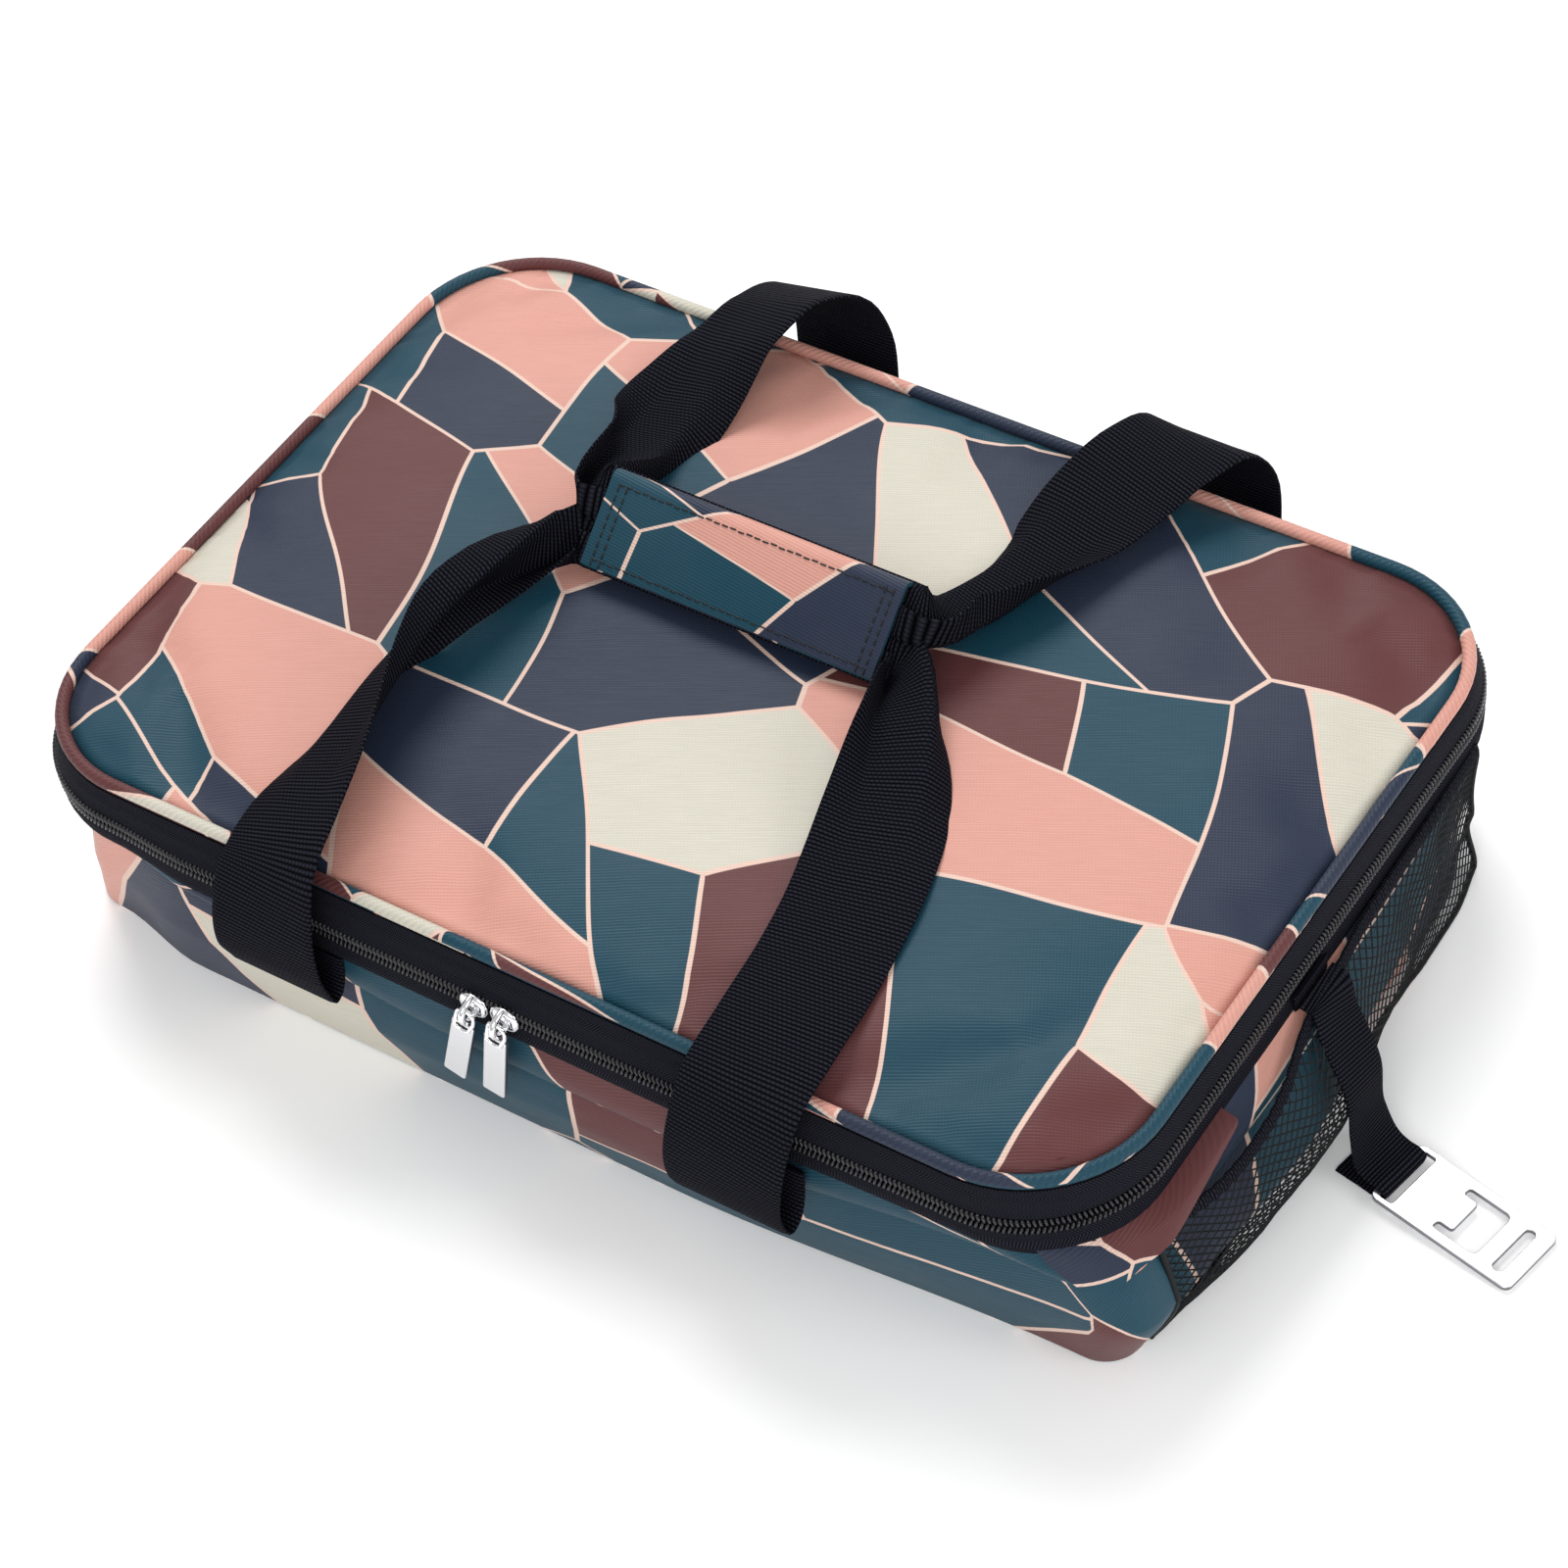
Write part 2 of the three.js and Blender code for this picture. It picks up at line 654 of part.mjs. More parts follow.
// A pull hangs from an eye round the bail's bar, leaning sideways by an angle
function pullGeometry(leanDegrees) {
  const eyeRadius = EYE_BORE_RADIUS + EYE_WALL;
  const eyeShape = new THREE.Shape().absarc(0, 0, eyeRadius, 0, 2 * Math.PI);
  eyeShape.holes.push(new THREE.Path().absarc(0, 0, EYE_BORE_RADIUS, 0, 2 * Math.PI, true));
  const eye = extruded(eyeShape, EYE_WIDTH, 16).translate(0, 0, -EYE_WIDTH / 2).rotateY(Math.PI / 2);
  const half = PULL_WIDTH / 2;
  const top = -EYE_BORE_RADIUS - EYE_WALL / 2;
  const bladeShape = new THREE.Shape();
  bladeShape.moveTo(-half + PULL_CORNER, top - PULL_LENGTH);
  bladeShape.lineTo(half - PULL_CORNER, top - PULL_LENGTH);
  bladeShape.lineTo(half, top - PULL_LENGTH + PULL_CORNER);
  bladeShape.lineTo(half, top - PULL_WIDTH);
  bladeShape.lineTo(EYE_WIDTH / 2, top);
  bladeShape.lineTo(-EYE_WIDTH / 2, top);
  bladeShape.lineTo(-half, top - PULL_WIDTH);
  bladeShape.lineTo(-half, top - PULL_LENGTH + PULL_CORNER);
  bladeShape.closePath();
  const blade = extruded(bladeShape, PULL_THICKNESS).translate(0, 0, -PULL_THICKNESS / 2);
  blade.rotateX(Math.PI / 2).rotateY(THREE.MathUtils.degToRad(leanDegrees));
  return joined(eye, blade);
}

function addSliders() {
  const reach = (SLIDER_LENGTH + SLIDER_SPACE) / 2;
  const places = [["left", -1, PULL_LEAN_LEFT], ["right", 1, PULL_LEAN_RIGHT]];
  for (const [name, side, lean] of places) {
    const x = SLIDER_MEETING_X + side * reach;
    addPart(`slider_${name}`, sliderGeometry(), chrome).position.set(x, 0, 0);
    addPart(`pull_${name}`, pullGeometry(lean), chrome).position.set(x, bailY, partingZ);
  }
}

// Mesh pockets: a flat net bent to the pocket's bulge, and its elastic top binding

const netTopZ = lowerTapeBottomZ - GAP - BINDING_HEIGHT - GAP;

// How far out a side wall stands at a height; side is 1 for the right wall and -1 for the left
function sideWallX(z, side) {
  const { l, shift } = bodyOutline(z);
  return l + side * shift;
}

// How far the pocket stands off the side wall at a distance from its centre and a height
function pocketStandOff(y, z) {
  const along = 1 - (y / POCKET_HALF_LENGTH) ** 4;
  const up = Math.min(1, Math.max(0, (z - POCKET_BASE_Z) / (netTopZ - POCKET_BASE_Z)));
  const straight = THREE.MathUtils.lerp(NET_LOW_BULGE, NET_TOP_BULGE, up);
  const belly = (NET_MID_BULGE - (NET_LOW_BULGE + NET_TOP_BULGE) / 2) * Math.sin(Math.PI * up);
  return POCKET_CLEARANCE + along * (straight + belly);
}

// The net's shape: u along the side, v up, with diamond gaps in staggered rows
function netShape(height) {
  const half = POCKET_HALF_LENGTH;
  const columnPitch = (2 * half - 2 * NET_BORDER) / NET_COLUMNS;
  const rowPitch = (height - 2 * NET_BORDER) / NET_ROWS;
  const shape = new THREE.Shape();
  shape.moveTo(-half, 0);
  for (let column = 1; column <= NET_COLUMNS; column += 1) {
    shape.lineTo(-half + (2 * half * column) / NET_COLUMNS, 0);
  }
  for (let row = 1; row <= NET_ROWS; row += 1) {
    shape.lineTo(half, (height * row) / NET_ROWS);
  }
  for (let column = NET_COLUMNS - 1; column >= 0; column -= 1) {
    shape.lineTo(-half + (2 * half * column) / NET_COLUMNS, height);
  }
  for (let row = NET_ROWS - 1; row >= 1; row -= 1) {
    shape.lineTo(-half, (height * row) / NET_ROWS);
  }
  shape.closePath();
  for (let row = 0; row < NET_ROWS; row += 1) {
    const staggered = row % 2;
    for (let column = 0; column < NET_COLUMNS - staggered; column += 1) {
      const u = -half + NET_BORDER + columnPitch * (column + 0.5 + staggered / 2);
      const v = NET_BORDER + rowPitch * (row + 0.5);
      const halfU = (columnPitch - NET_STRAND) / 2;
      const halfV = (rowPitch - NET_STRAND / 2) / 2;
      const hole = new THREE.Path();
      hole.moveTo(u - halfU, v);
      hole.lineTo(u, v + halfV);
      hole.lineTo(u + halfU, v);
      hole.lineTo(u, v - halfV);
      hole.closePath();
      shape.holes.push(hole);
    }
  }
  return shape;
}

function netGeometry(side) {
  const geometry = extruded(netShape(netTopZ - POCKET_BASE_Z), NET_THICKNESS);
  geometry.deleteAttribute("normal");
  geometry.deleteAttribute("uv");
  const net = mergeVertices(geometry);
  const position = net.attributes.position;
  for (let i = 0; i < position.count; i += 1) {
    const y = position.getX(i);
    const z = POCKET_BASE_Z + position.getY(i);
    const x = sideWallX(z, side) + pocketStandOff(y, z) + position.getZ(i);
    position.setXYZ(i, x, y + POCKET_CENTRE_Y, z);
  }
  return net;
}

function bindingGeometry(side) {
  const lowZ = netTopZ + GAP;
  const highZ = lowZ + BINDING_HEIGHT;
  const wallX = Math.max(sideWallX(lowZ, side), sideWallX(highZ, side));
  const sections = [];
  for (let step = 0; step <= BINDING_STEPS; step += 1) {
    const y = THREE.MathUtils.lerp(-POCKET_HALF_LENGTH, POCKET_HALF_LENGTH, step / BINDING_STEPS);
    const inner = wallX + pocketStandOff(y, netTopZ);
    const outer = inner + BINDING_THICKNESS;
    sections.push([
      new THREE.Vector3(outer, y + POCKET_CENTRE_Y, lowZ),
      new THREE.Vector3(outer, y + POCKET_CENTRE_Y, highZ),
      new THREE.Vector3(inner, y + POCKET_CENTRE_Y, highZ),
      new THREE.Vector3(inner, y + POCKET_CENTRE_Y, lowZ),
    ]);
  }
  return sweptBar(sections);
}

function addPockets() {
  for (const [name, side, turn] of [["right", 1, 0], ["left", -1, Math.PI]]) {
    addPart(`pocket_net_${name}`, netGeometry(side), blackNet).rotation.z = turn;
    addPart(`pocket_binding_${name}`, bindingGeometry(side), blackWebbing).rotation.z = turn;
  }
}

// Grip: both handles' webbing folded side by side inside a printed wrap.
// Its local u runs across the broad face and n out of it.

const gripRoll = THREE.MathUtils.degToRad(GRIP_ROLL);
const gripAcross = new THREE.Vector3(0, Math.cos(gripRoll), Math.sin(gripRoll));
const gripInnerHalf = GRIP_WEB_WIDTH + 1.5 * GAP;
const gripOuterHalf = gripInnerHalf + GRIP_PANEL;
const gripInnerDepth = GRIP_WEB_THICKNESS / 2 + GAP;
const gripOuterDepth = gripInnerDepth + GRIP_PANEL;
const gripFlapDepth = gripOuterDepth + 2 * GRIP_TAPE_THICKNESS + 3 * GAP;
const gripLowest = gripOuterHalf * Math.sin(gripRoll) + (gripFlapDepth + GRIP_PANEL) * Math.cos(gripRoll);
const gripZ = lidTopZ + GRIP_REST_GAP + gripLowest;

function extrudedAlongGrip(points) {
  const shape = new THREE.Shape(points.map(([u, n]) => new THREE.Vector2(u, n)));
  const bar = extruded(shape, GRIP_LENGTH).translate(0, 0, -GRIP_LENGTH / 2);
  bar.rotateX(Math.PI / 2).rotateZ(Math.PI / 2);
  return bar;
}

function addGrip() {
  const grip = new THREE.Group();
  grip.position.set(GRIP_CENTRE_X, GRIP_CENTRE_Y, gripZ);
  grip.rotation.x = gripRoll;
  cooler.add(grip);

  const lipStart = gripOuterHalf - GRIP_LIP;
  addPart("grip_wrap", extrudedAlongGrip([
    [-gripOuterHalf, gripInnerDepth],
    [gripInnerHalf, gripInnerDepth],
    [gripInnerHalf, -gripInnerDepth],
    [lipStart, -gripInnerDepth],
    [lipStart, -gripOuterDepth],
    [gripOuterHalf, -gripOuterDepth],
    [gripOuterHalf, gripOuterDepth],
    [-gripOuterHalf, gripOuterDepth],
  ]), gripFabric, grip);
  addPart("grip_flap", extrudedAlongGrip([
    [-gripOuterHalf, gripInnerDepth - GAP],
    [-gripOuterHalf, -gripFlapDepth - GRIP_PANEL],
    [gripOuterHalf - GAP, -gripFlapDepth - GRIP_PANEL],
    [gripOuterHalf - GAP, -gripFlapDepth],
    [-gripInnerHalf, -gripFlapDepth],
    [-gripInnerHalf, gripInnerDepth - GAP],
  ]), gripFabric, grip);
  const tapeStart = lipStart + (GRIP_LIP - GRIP_TAPE_WIDTH) / 2;
  const tapeEnd = tapeStart + GRIP_TAPE_WIDTH;
  const strip = (top) => extrudedAlongGrip([
    [tapeStart, top - GRIP_TAPE_THICKNESS],
    [tapeEnd, top - GRIP_TAPE_THICKNESS],
    [tapeEnd, top],
    [tapeStart, top],
  ]);
  addPart("grip_loop_tape", strip(-gripOuterDepth - GAP), blackTape, grip);
  addPart("grip_hook_tape", strip(-gripFlapDepth + GAP + GRIP_TAPE_THICKNESS), blackTape, grip);

  const halfWeb = (GRIP_WEB_WIDTH + GAP) / 2;
  for (const [name, middle] of [["front_web_grip", -halfWeb], ["back_web_grip", halfWeb]]) {
    const web = new THREE.BoxGeometry(GRIP_LENGTH, GRIP_WEB_WIDTH, GRIP_WEB_THICKNESS);
    addPart(name, web, blackWebbing, grip).position.y = middle;
  }
}

// Handle webbing: a sewn tail under the rim, then a leg over the lid's edge to the grip

// The web's edge towards +X is raised by an angle, in degrees
function raisedSide(degrees) {
  const angle = THREE.MathUtils.degToRad(degrees);
  return new THREE.Vector3(Math.cos(angle), 0, Math.sin(angle));
}

// Each leg's free route from its loop to the grip: x, y, the height over the lid's piping and
// the raise of its edge, chosen to lie as photographed. gripEdge is 1 where the raised edge
// ends at the grip's back.
const legRoutes = {
  front_left: {
    facing: -1, loopX: -92, loopY: -165, loopHeight: -43, gripSide: -1, gripEdge: 1,
    over: [
      [-92, -168, -28, 6],
      [-92, -166, -10, 14],
      [-93, -156, 9, 19],
      [-96, -134, 16, 22],
      [-99, -102, 19, 28],
    ],
    narrowing: [
      [-101, -64, 23, 38],
      [-98, -33, 25, 46],
    ],
  },
  front_right: {
    facing: -1, loopX: 95, loopY: -169, loopHeight: -48, gripSide: 1, gripEdge: 1,
    over: [
      [95, -171, -32, 0],
      [97, -168, -12, 0],
      [98, -157, 5, 0],
      [97, -134, 9, 0],
      [94, -104, 9, 0],
      [89, -72, 11, 0],
    ],
    narrowing: [
      [80, -38, 15, 0],
      [67, -8, 20, 10],
    ],
  },
  back_left: {
    facing: 1, loopX: -78, loopY: 172, loopHeight: -46, gripSide: -1, gripEdge: 1,
    over: [
      [-78, 174, -30, 0],
      [-80, 172, -4, 0],
      [-82, 161, 13, 0],
      [-85, 143, 17, 0],
      [-88, 122, 14, 0],
      [-91, 99, 11, 0],
    ],
    narrowing: [
      [-90, 74, 13, 0],
      [-88, 58, 19, 8],
    ],
  },
  back_right: {
    facing: 1, loopX: 88, loopY: 171, loopHeight: -46, gripSide: 1, gripEdge: -1,
    over: [
      [88, 173, -30, 0],
      [89, 170, -6, 0],
      [88, 157, 10, 0],
      [85, 140, 13, 0],
      [81, 117, 12, 0],
      [75, 93, 11, 0],
    ],
    narrowing: [
      [68, 66, 14, 0],
      [60, 44, 19, -10],
    ],
  },
};

const wallY = (facing, z) => facing * (bodyOutline(z).w + (facing < 0 ? bodyOutline(z).bow : 0));

function tailStations({ facing, loopX, loopY, loopHeight }) {
  const flat = raisedSide(0);
  const loopZ = FOLDED_HEIGHT + loopHeight;
  const sewnZ = lowerTapeBottomZ - WEB_THICKNESS;
  const sewnY = wallY(facing, sewnZ) + facing * WEB_THICKNESS;
  const along = (share, z) => station(loopX, THREE.MathUtils.lerp(sewnY, loopY, share), z, flat);
  return [
    along(0, sewnZ),
    along(0.14, THREE.MathUtils.lerp(loopZ, sewnZ, 0.45)),
    along(0.4, loopZ + TAIL_RISE / 3),
    along(0.75, loopZ),
    along(1, loopZ + TAIL_RISE),
  ];
}

function addHandles() {
  const webHalf = (GRIP_WEB_WIDTH + GAP) / 2;
  for (const [name, route] of Object.entries(legRoutes)) {
    const [handle, side] = name.split("_");
    const tail = tailStations(route);
    addPart(`web_tail_${name}`, webbing(tail, TAIL_STEPS), blackWebbing);

    const loopEnd = tail[tail.length - 1].at;
    const startY = loopEnd.y + (route.facing * WEB_THICKNESS) / 2;
    const start = station(loopEnd.x, startY, loopEnd.z + WEB_THICKNESS, raisedSide(0));
    const over = route.over.map(([x, y, height, raise]) => (
      station(x, y, FOLDED_HEIGHT + height, raisedSide(raise))
    ));
    const narrowing = route.narrowing.map(([x, y, height, raise], index) => {
      const share = (index + 1) / (route.narrowing.length + 0.2);
      return station(
        x, y, FOLDED_HEIGHT + height, raisedSide(raise),
        THREE.MathUtils.lerp(WEB_WIDTH, GRIP_WEB_WIDTH, share),
        THREE.MathUtils.lerp(WEB_THICKNESS, WEB_FOLDED_THICKNESS, share),
      );
    });
    const centre = new THREE.Vector3(GRIP_CENTRE_X, GRIP_CENTRE_Y, gripZ);
    centre.addScaledVector(gripAcross, route.facing * webHalf);
    const gripEdge = gripAcross.clone().multiplyScalar(route.gripEdge);
    const entry = [GRIP_ENTRY, 0].map((out) => {
      const x = centre.x + route.gripSide * (GRIP_LENGTH / 2 + GAP + out);
      const width = GRIP_WEB_WIDTH - (GRIP_ENTRY_PINCH * out) / GRIP_ENTRY;
      return station(x, centre.y, centre.z, gripEdge, width, WEB_FOLDED_THICKNESS);
    });
    const leg = webbing([start, ...over, ...narrowing, ...entry], WEB_STEPS);
    addPart(`${handle}_web_${side}`, leg, blackWebbing);
  }
}

// Bottle opener on its strap: sewn to the rim's right side, lying out on the ground

const openerHeading = THREE.MathUtils.degToRad(OPENER_HEADING);
const openerOut = new THREE.Vector3(Math.cos(openerHeading), Math.sin(openerHeading), 0);
const openerAcross = new THREE.Vector3(-Math.sin(openerHeading), Math.cos(openerHeading), 0);
const loopRadius = LOOP_INNER_RADIUS + STRAP_THICKNESS / 2;
const openerBarZ = FLOOR_CLEARANCE + STRAP_THICKNESS / 2 + loopRadius;
const openerBar = new THREE.Vector3(OPENER_BAR_X, OPENER_BAR_Y, openerBarZ);

function addOpenerStrap() {
  const wallX = sideWallX(lowerTapeBottomZ, 1) + GAP + TAPE_THICKNESS;
  const anchorZ = lowerTapeTopZ - ANCHOR_HEIGHT;
  const halfWidth = STRAP_WIDTH / 2;
  addPart("opener_anchor", boxBetween(
    [wallX + GAP, STRAP_ROOT_Y - halfWidth, anchorZ],
    [wallX + GAP + STRAP_THICKNESS, STRAP_ROOT_Y + halfWidth, lowerTapeTopZ],
  ), blackWebbing);

  const alongY = new THREE.Vector3(0, 1, 0);
  const strapStation = (at, side) => ({ at, side, width: STRAP_WIDTH, thickness: STRAP_THICKNESS });
  const rootX = wallX + 2 * GAP + STRAP_THICKNESS;
  const pocketX = sideWallX(netTopZ, 1) + POCKET_CLEARANCE + NET_TOP_BULGE + BINDING_THICKNESS;
  const bellyX = sideWallX(BELLY_HEIGHT, 1) + POCKET_CLEARANCE + NET_MID_BULGE + NET_THICKNESS;
  const fall = [
    [rootX + 1, STRAP_ROOT_Y, anchorZ + ANCHOR_HEIGHT / 2],
    [pocketX + 0.5, STRAP_ROOT_Y, anchorZ + ANCHOR_HEIGHT / 4],
    [pocketX + 4, STRAP_ROOT_Y - 3, anchorZ - 6],
    [bellyX + 3, STRAP_ROOT_Y - 8, CREASE_HEIGHT - 6],
    [bellyX + 6, STRAP_ROOT_Y - 11, BELLY_HEIGHT - 2],
  ].map((at) => strapStation(new THREE.Vector3(...at), alongY));
  const fromBar = (out, up) => strapStation(
    openerBar.clone().addScaledVector(openerOut, out).add(new THREE.Vector3(0, 0, up)),
    openerAcross,
  );
  const lead = [fromBar(-9, loopRadius + 2.2), fromBar(-4, loopRadius)];
  const turn = [90, 45, 0, -45, -90].map((degrees) => {
    const angle = THREE.MathUtils.degToRad(degrees);
    return fromBar(loopRadius * Math.cos(angle), loopRadius * Math.sin(angle));
  });
  const back = [fromBar(-LOOP_RETURN / 2, -loopRadius), fromBar(-LOOP_RETURN, -loopRadius)];
  addPart("opener_strap", webbing([...fall, ...lead, ...turn, ...back], STRAP_STEPS), blackWebbing);
}

function addOpener() {
  const half = OPENER_WIDTH / 2;
  const nearEnd = -OPENER_BAR / 2;
  const farEnd = nearEnd + OPENER_LENGTH;
  const slotStart = OPENER_BAR / 2;
  const shape = roundedRectangle(nearEnd, -half, farEnd, half, OPENER_CORNER);
  const slotHalf = STRAP_WIDTH / 2 + OPENER_SLOT_SPARE;
  shape.holes.push(roundedRectangle(slotStart, -slotHalf, slotStart + OPENER_SLOT, slotHalf, 1, THREE.Path));
  const sideRail = (OPENER_WIDTH - OPENER_MOUTH_WIDTH) / 2;
  const farSlotEnd = farEnd - OPENER_END_RAIL;
  const farSlotStart = farSlotEnd - OPENER_FAR_SLOT;
  shape.holes.push(roundedRectangle(
    farSlotStart, -half + sideRail, farSlotEnd, half - sideRail, OPENER_FAR_SLOT / 2 - 0.1, THREE.Path,
  ));
  const mouthEnd = farSlotStart - OPENER_RAIL;
  const mouthStart = mouthEnd - OPENER_MOUTH_LENGTH;
  const mouthHalf = OPENER_MOUTH_WIDTH / 2;
  const clawHalf = mouthHalf - OPENER_NOTCH;
  const mouth = new THREE.Path();
  mouth.moveTo(mouthStart, clawHalf);
  mouth.lineTo(mouthStart - OPENER_NOTCH_DEPTH, clawHalf);
  mouth.lineTo(mouthStart - OPENER_NOTCH_DEPTH, mouthHalf);
  mouth.lineTo(mouthEnd, mouthHalf);
  mouth.lineTo(mouthEnd, -mouthHalf);
  mouth.lineTo(mouthStart - OPENER_NOTCH_DEPTH, -mouthHalf);
  mouth.lineTo(mouthStart - OPENER_NOTCH_DEPTH, -clawHalf);
  mouth.lineTo(mouthStart, -clawHalf);
  mouth.closePath();
  shape.holes.push(mouth);
  const plate = extruded(shape, OPENER_THICKNESS).translate(0, 0, -OPENER_THICKNESS / 2);
  const drop = openerBarZ - OPENER_THICKNESS / 2 - FLOOR_CLEARANCE;
  const turned = new THREE.Group();
  turned.position.copy(openerBar);
  turned.rotation.z = openerHeading;
  cooler.add(turned);
  addPart("opener_plate", plate, satinSteel, turned).rotation.y = Math.asin(drop / farEnd);
}

addBase();
addWalls();
addLid();
addZip();
addSliders();
addPockets();
addGrip();
addHandles();
addOpenerStrap();
addOpener();

export default cooler;
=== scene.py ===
"""Collapsible cooler box, folded low: its fabric, webbing, zip, nets, metal and the studio round it."""

import logging
import math
from dataclasses import astuple, dataclass, field
from enum import Enum
from typing import Callable, Sequence, Union

import bmesh
import bpy
import numpy as np
from mathutils import Matrix, Vector, noise


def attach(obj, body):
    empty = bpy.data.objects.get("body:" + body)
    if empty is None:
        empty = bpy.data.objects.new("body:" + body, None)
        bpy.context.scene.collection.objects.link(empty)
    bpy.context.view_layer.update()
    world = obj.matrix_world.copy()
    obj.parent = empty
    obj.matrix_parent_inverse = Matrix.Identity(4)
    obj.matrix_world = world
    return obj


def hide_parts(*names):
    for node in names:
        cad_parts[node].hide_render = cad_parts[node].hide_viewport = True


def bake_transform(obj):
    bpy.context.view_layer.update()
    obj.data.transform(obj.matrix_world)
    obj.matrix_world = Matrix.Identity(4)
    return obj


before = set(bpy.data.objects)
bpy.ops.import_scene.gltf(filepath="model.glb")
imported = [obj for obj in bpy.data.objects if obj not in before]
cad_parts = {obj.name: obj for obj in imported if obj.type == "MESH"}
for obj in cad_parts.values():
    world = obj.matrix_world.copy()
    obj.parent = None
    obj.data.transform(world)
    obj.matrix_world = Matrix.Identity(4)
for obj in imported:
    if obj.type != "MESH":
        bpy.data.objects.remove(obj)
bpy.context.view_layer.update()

log = logging.getLogger("cooler")

MM = 0.001
TURN = 2 * math.pi
Points = np.ndarray
Colour = tuple[float, float, float]


# Small helpers on numbers and points

def smooth(value: Points | float) -> Points | float:
    """Ease a value between 0 and 1, held at its ends."""
    held = np.clip(value, 0, 1)
    return held * held * (3 - 2 * held)


def unit(vectors: Points) -> Points:
    """Scale each vector in the last axis to length one."""
    length = np.linalg.norm(vectors, axis=-1, keepdims=True)
    return vectors / np.maximum(length, 1e-9)


def hill(value: Points | float, middle: float, width: Points | float) -> Points | float:
    """Return a smooth hill of height one about a middle."""
    return np.exp(-((value - middle) / width) ** 2)


def travelled(path: Points, closed: bool = False) -> Points:
    """Measure how far along a path each point lies. A closed one gets the way back to its start too."""
    if closed:
        path = np.vstack([path, path[:1]])
    return np.concatenate([[0.0], np.cumsum(np.linalg.norm(np.diff(path, axis=0), axis=1))])


def crossed(down: Points, across: Points) -> Points:
    """Pair every value of one row with every value of another, as a table of pairs."""
    return np.stack(np.meshgrid(down, across, indexing="ij"), axis=-1)


def read_off(places: Points, marks: Points, rows: Points) -> Points:
    """Read each column of some rows at places between the rows' marks."""
    return np.column_stack([np.interp(places, marks, column) for column in np.transpose(rows)])


def ripple(points: Points, size: float, seed: float) -> Points:
    """Read a smooth noise at each point.

    Args:
        points: Places in mm, with x, y and z in the last axis.
        size: Width of one bump in mm.
        seed: Offset that picks another part of the noise.

    Returns:
        Values of about -1 to 1, one for each point.
    """
    flat = points.reshape(-1, 3) / size + seed
    values = np.array([noise.noise(Vector(place)) for place in flat])
    return values.reshape(points.shape[:-1])


def catmull_rom(knots: Points, shares: Points) -> tuple[Points, Points]:
    """Follow a centripetal curve through knots.

    Args:
        knots: The points that the curve goes through, one a row.
        shares: Places along the curve, from 0 to 1, equal steps a knot.

    Returns:
        The points on the curve, and its unit tangents there.
    """
    padded = np.vstack([2 * knots[0] - knots[1], knots, 2 * knots[-1] - knots[-2]])

    def at(share: float) -> Points:
        """Find one point of the curve."""
        place = min(max(share, 0.0), 1.0) * (len(knots) - 1)
        index = min(int(place), len(knots) - 2)
        part = place - index
        four = padded[index:index + 4]
        steps = np.maximum(np.linalg.norm(np.diff(four, axis=0), axis=1) ** 0.5, 1e-4)
        before, here, after = steps
        left = (four[1] - four[0]) / before - (four[2] - four[0]) / (before + here)
        left += (four[2] - four[1]) / here
        right = (four[2] - four[1]) / here - (four[3] - four[1]) / (here + after)
        right += (four[3] - four[2]) / after
        left, right = left * here, right * here
        cubic = 2 * four[1] - 2 * four[2] + left + right
        square = -3 * four[1] + 3 * four[2] - 2 * left - right
        return cubic * part ** 3 + square * part ** 2 + left * part + four[1]

    nudge = 1e-4
    places = np.array([at(share) for share in shares])
    ahead = np.array([at(share + nudge) for share in shares])
    behind = np.array([at(share - nudge) for share in shares])
    return places, unit(ahead - behind)


def rounded(before: Points, here: Points, after: Points, cut: float, count: int) -> list[Points]:
    """Round a corner off.

    Args:
        before: The point before the corner.
        here: The corner.
        after: The point after it.
        cut: How far from the corner the round starts and ends.
        count: How many points it has.

    Returns:
        The round's points.
    """
    start, end = here + unit(before - here) * cut, here + unit(after - here) * cut
    shares = np.linspace(0, 1, count)
    return [(1 - share) ** 2 * start + 2 * share * (1 - share) * here + share ** 2 * end for share in shares]


# Shader maths

Operand = Union["Field", float]


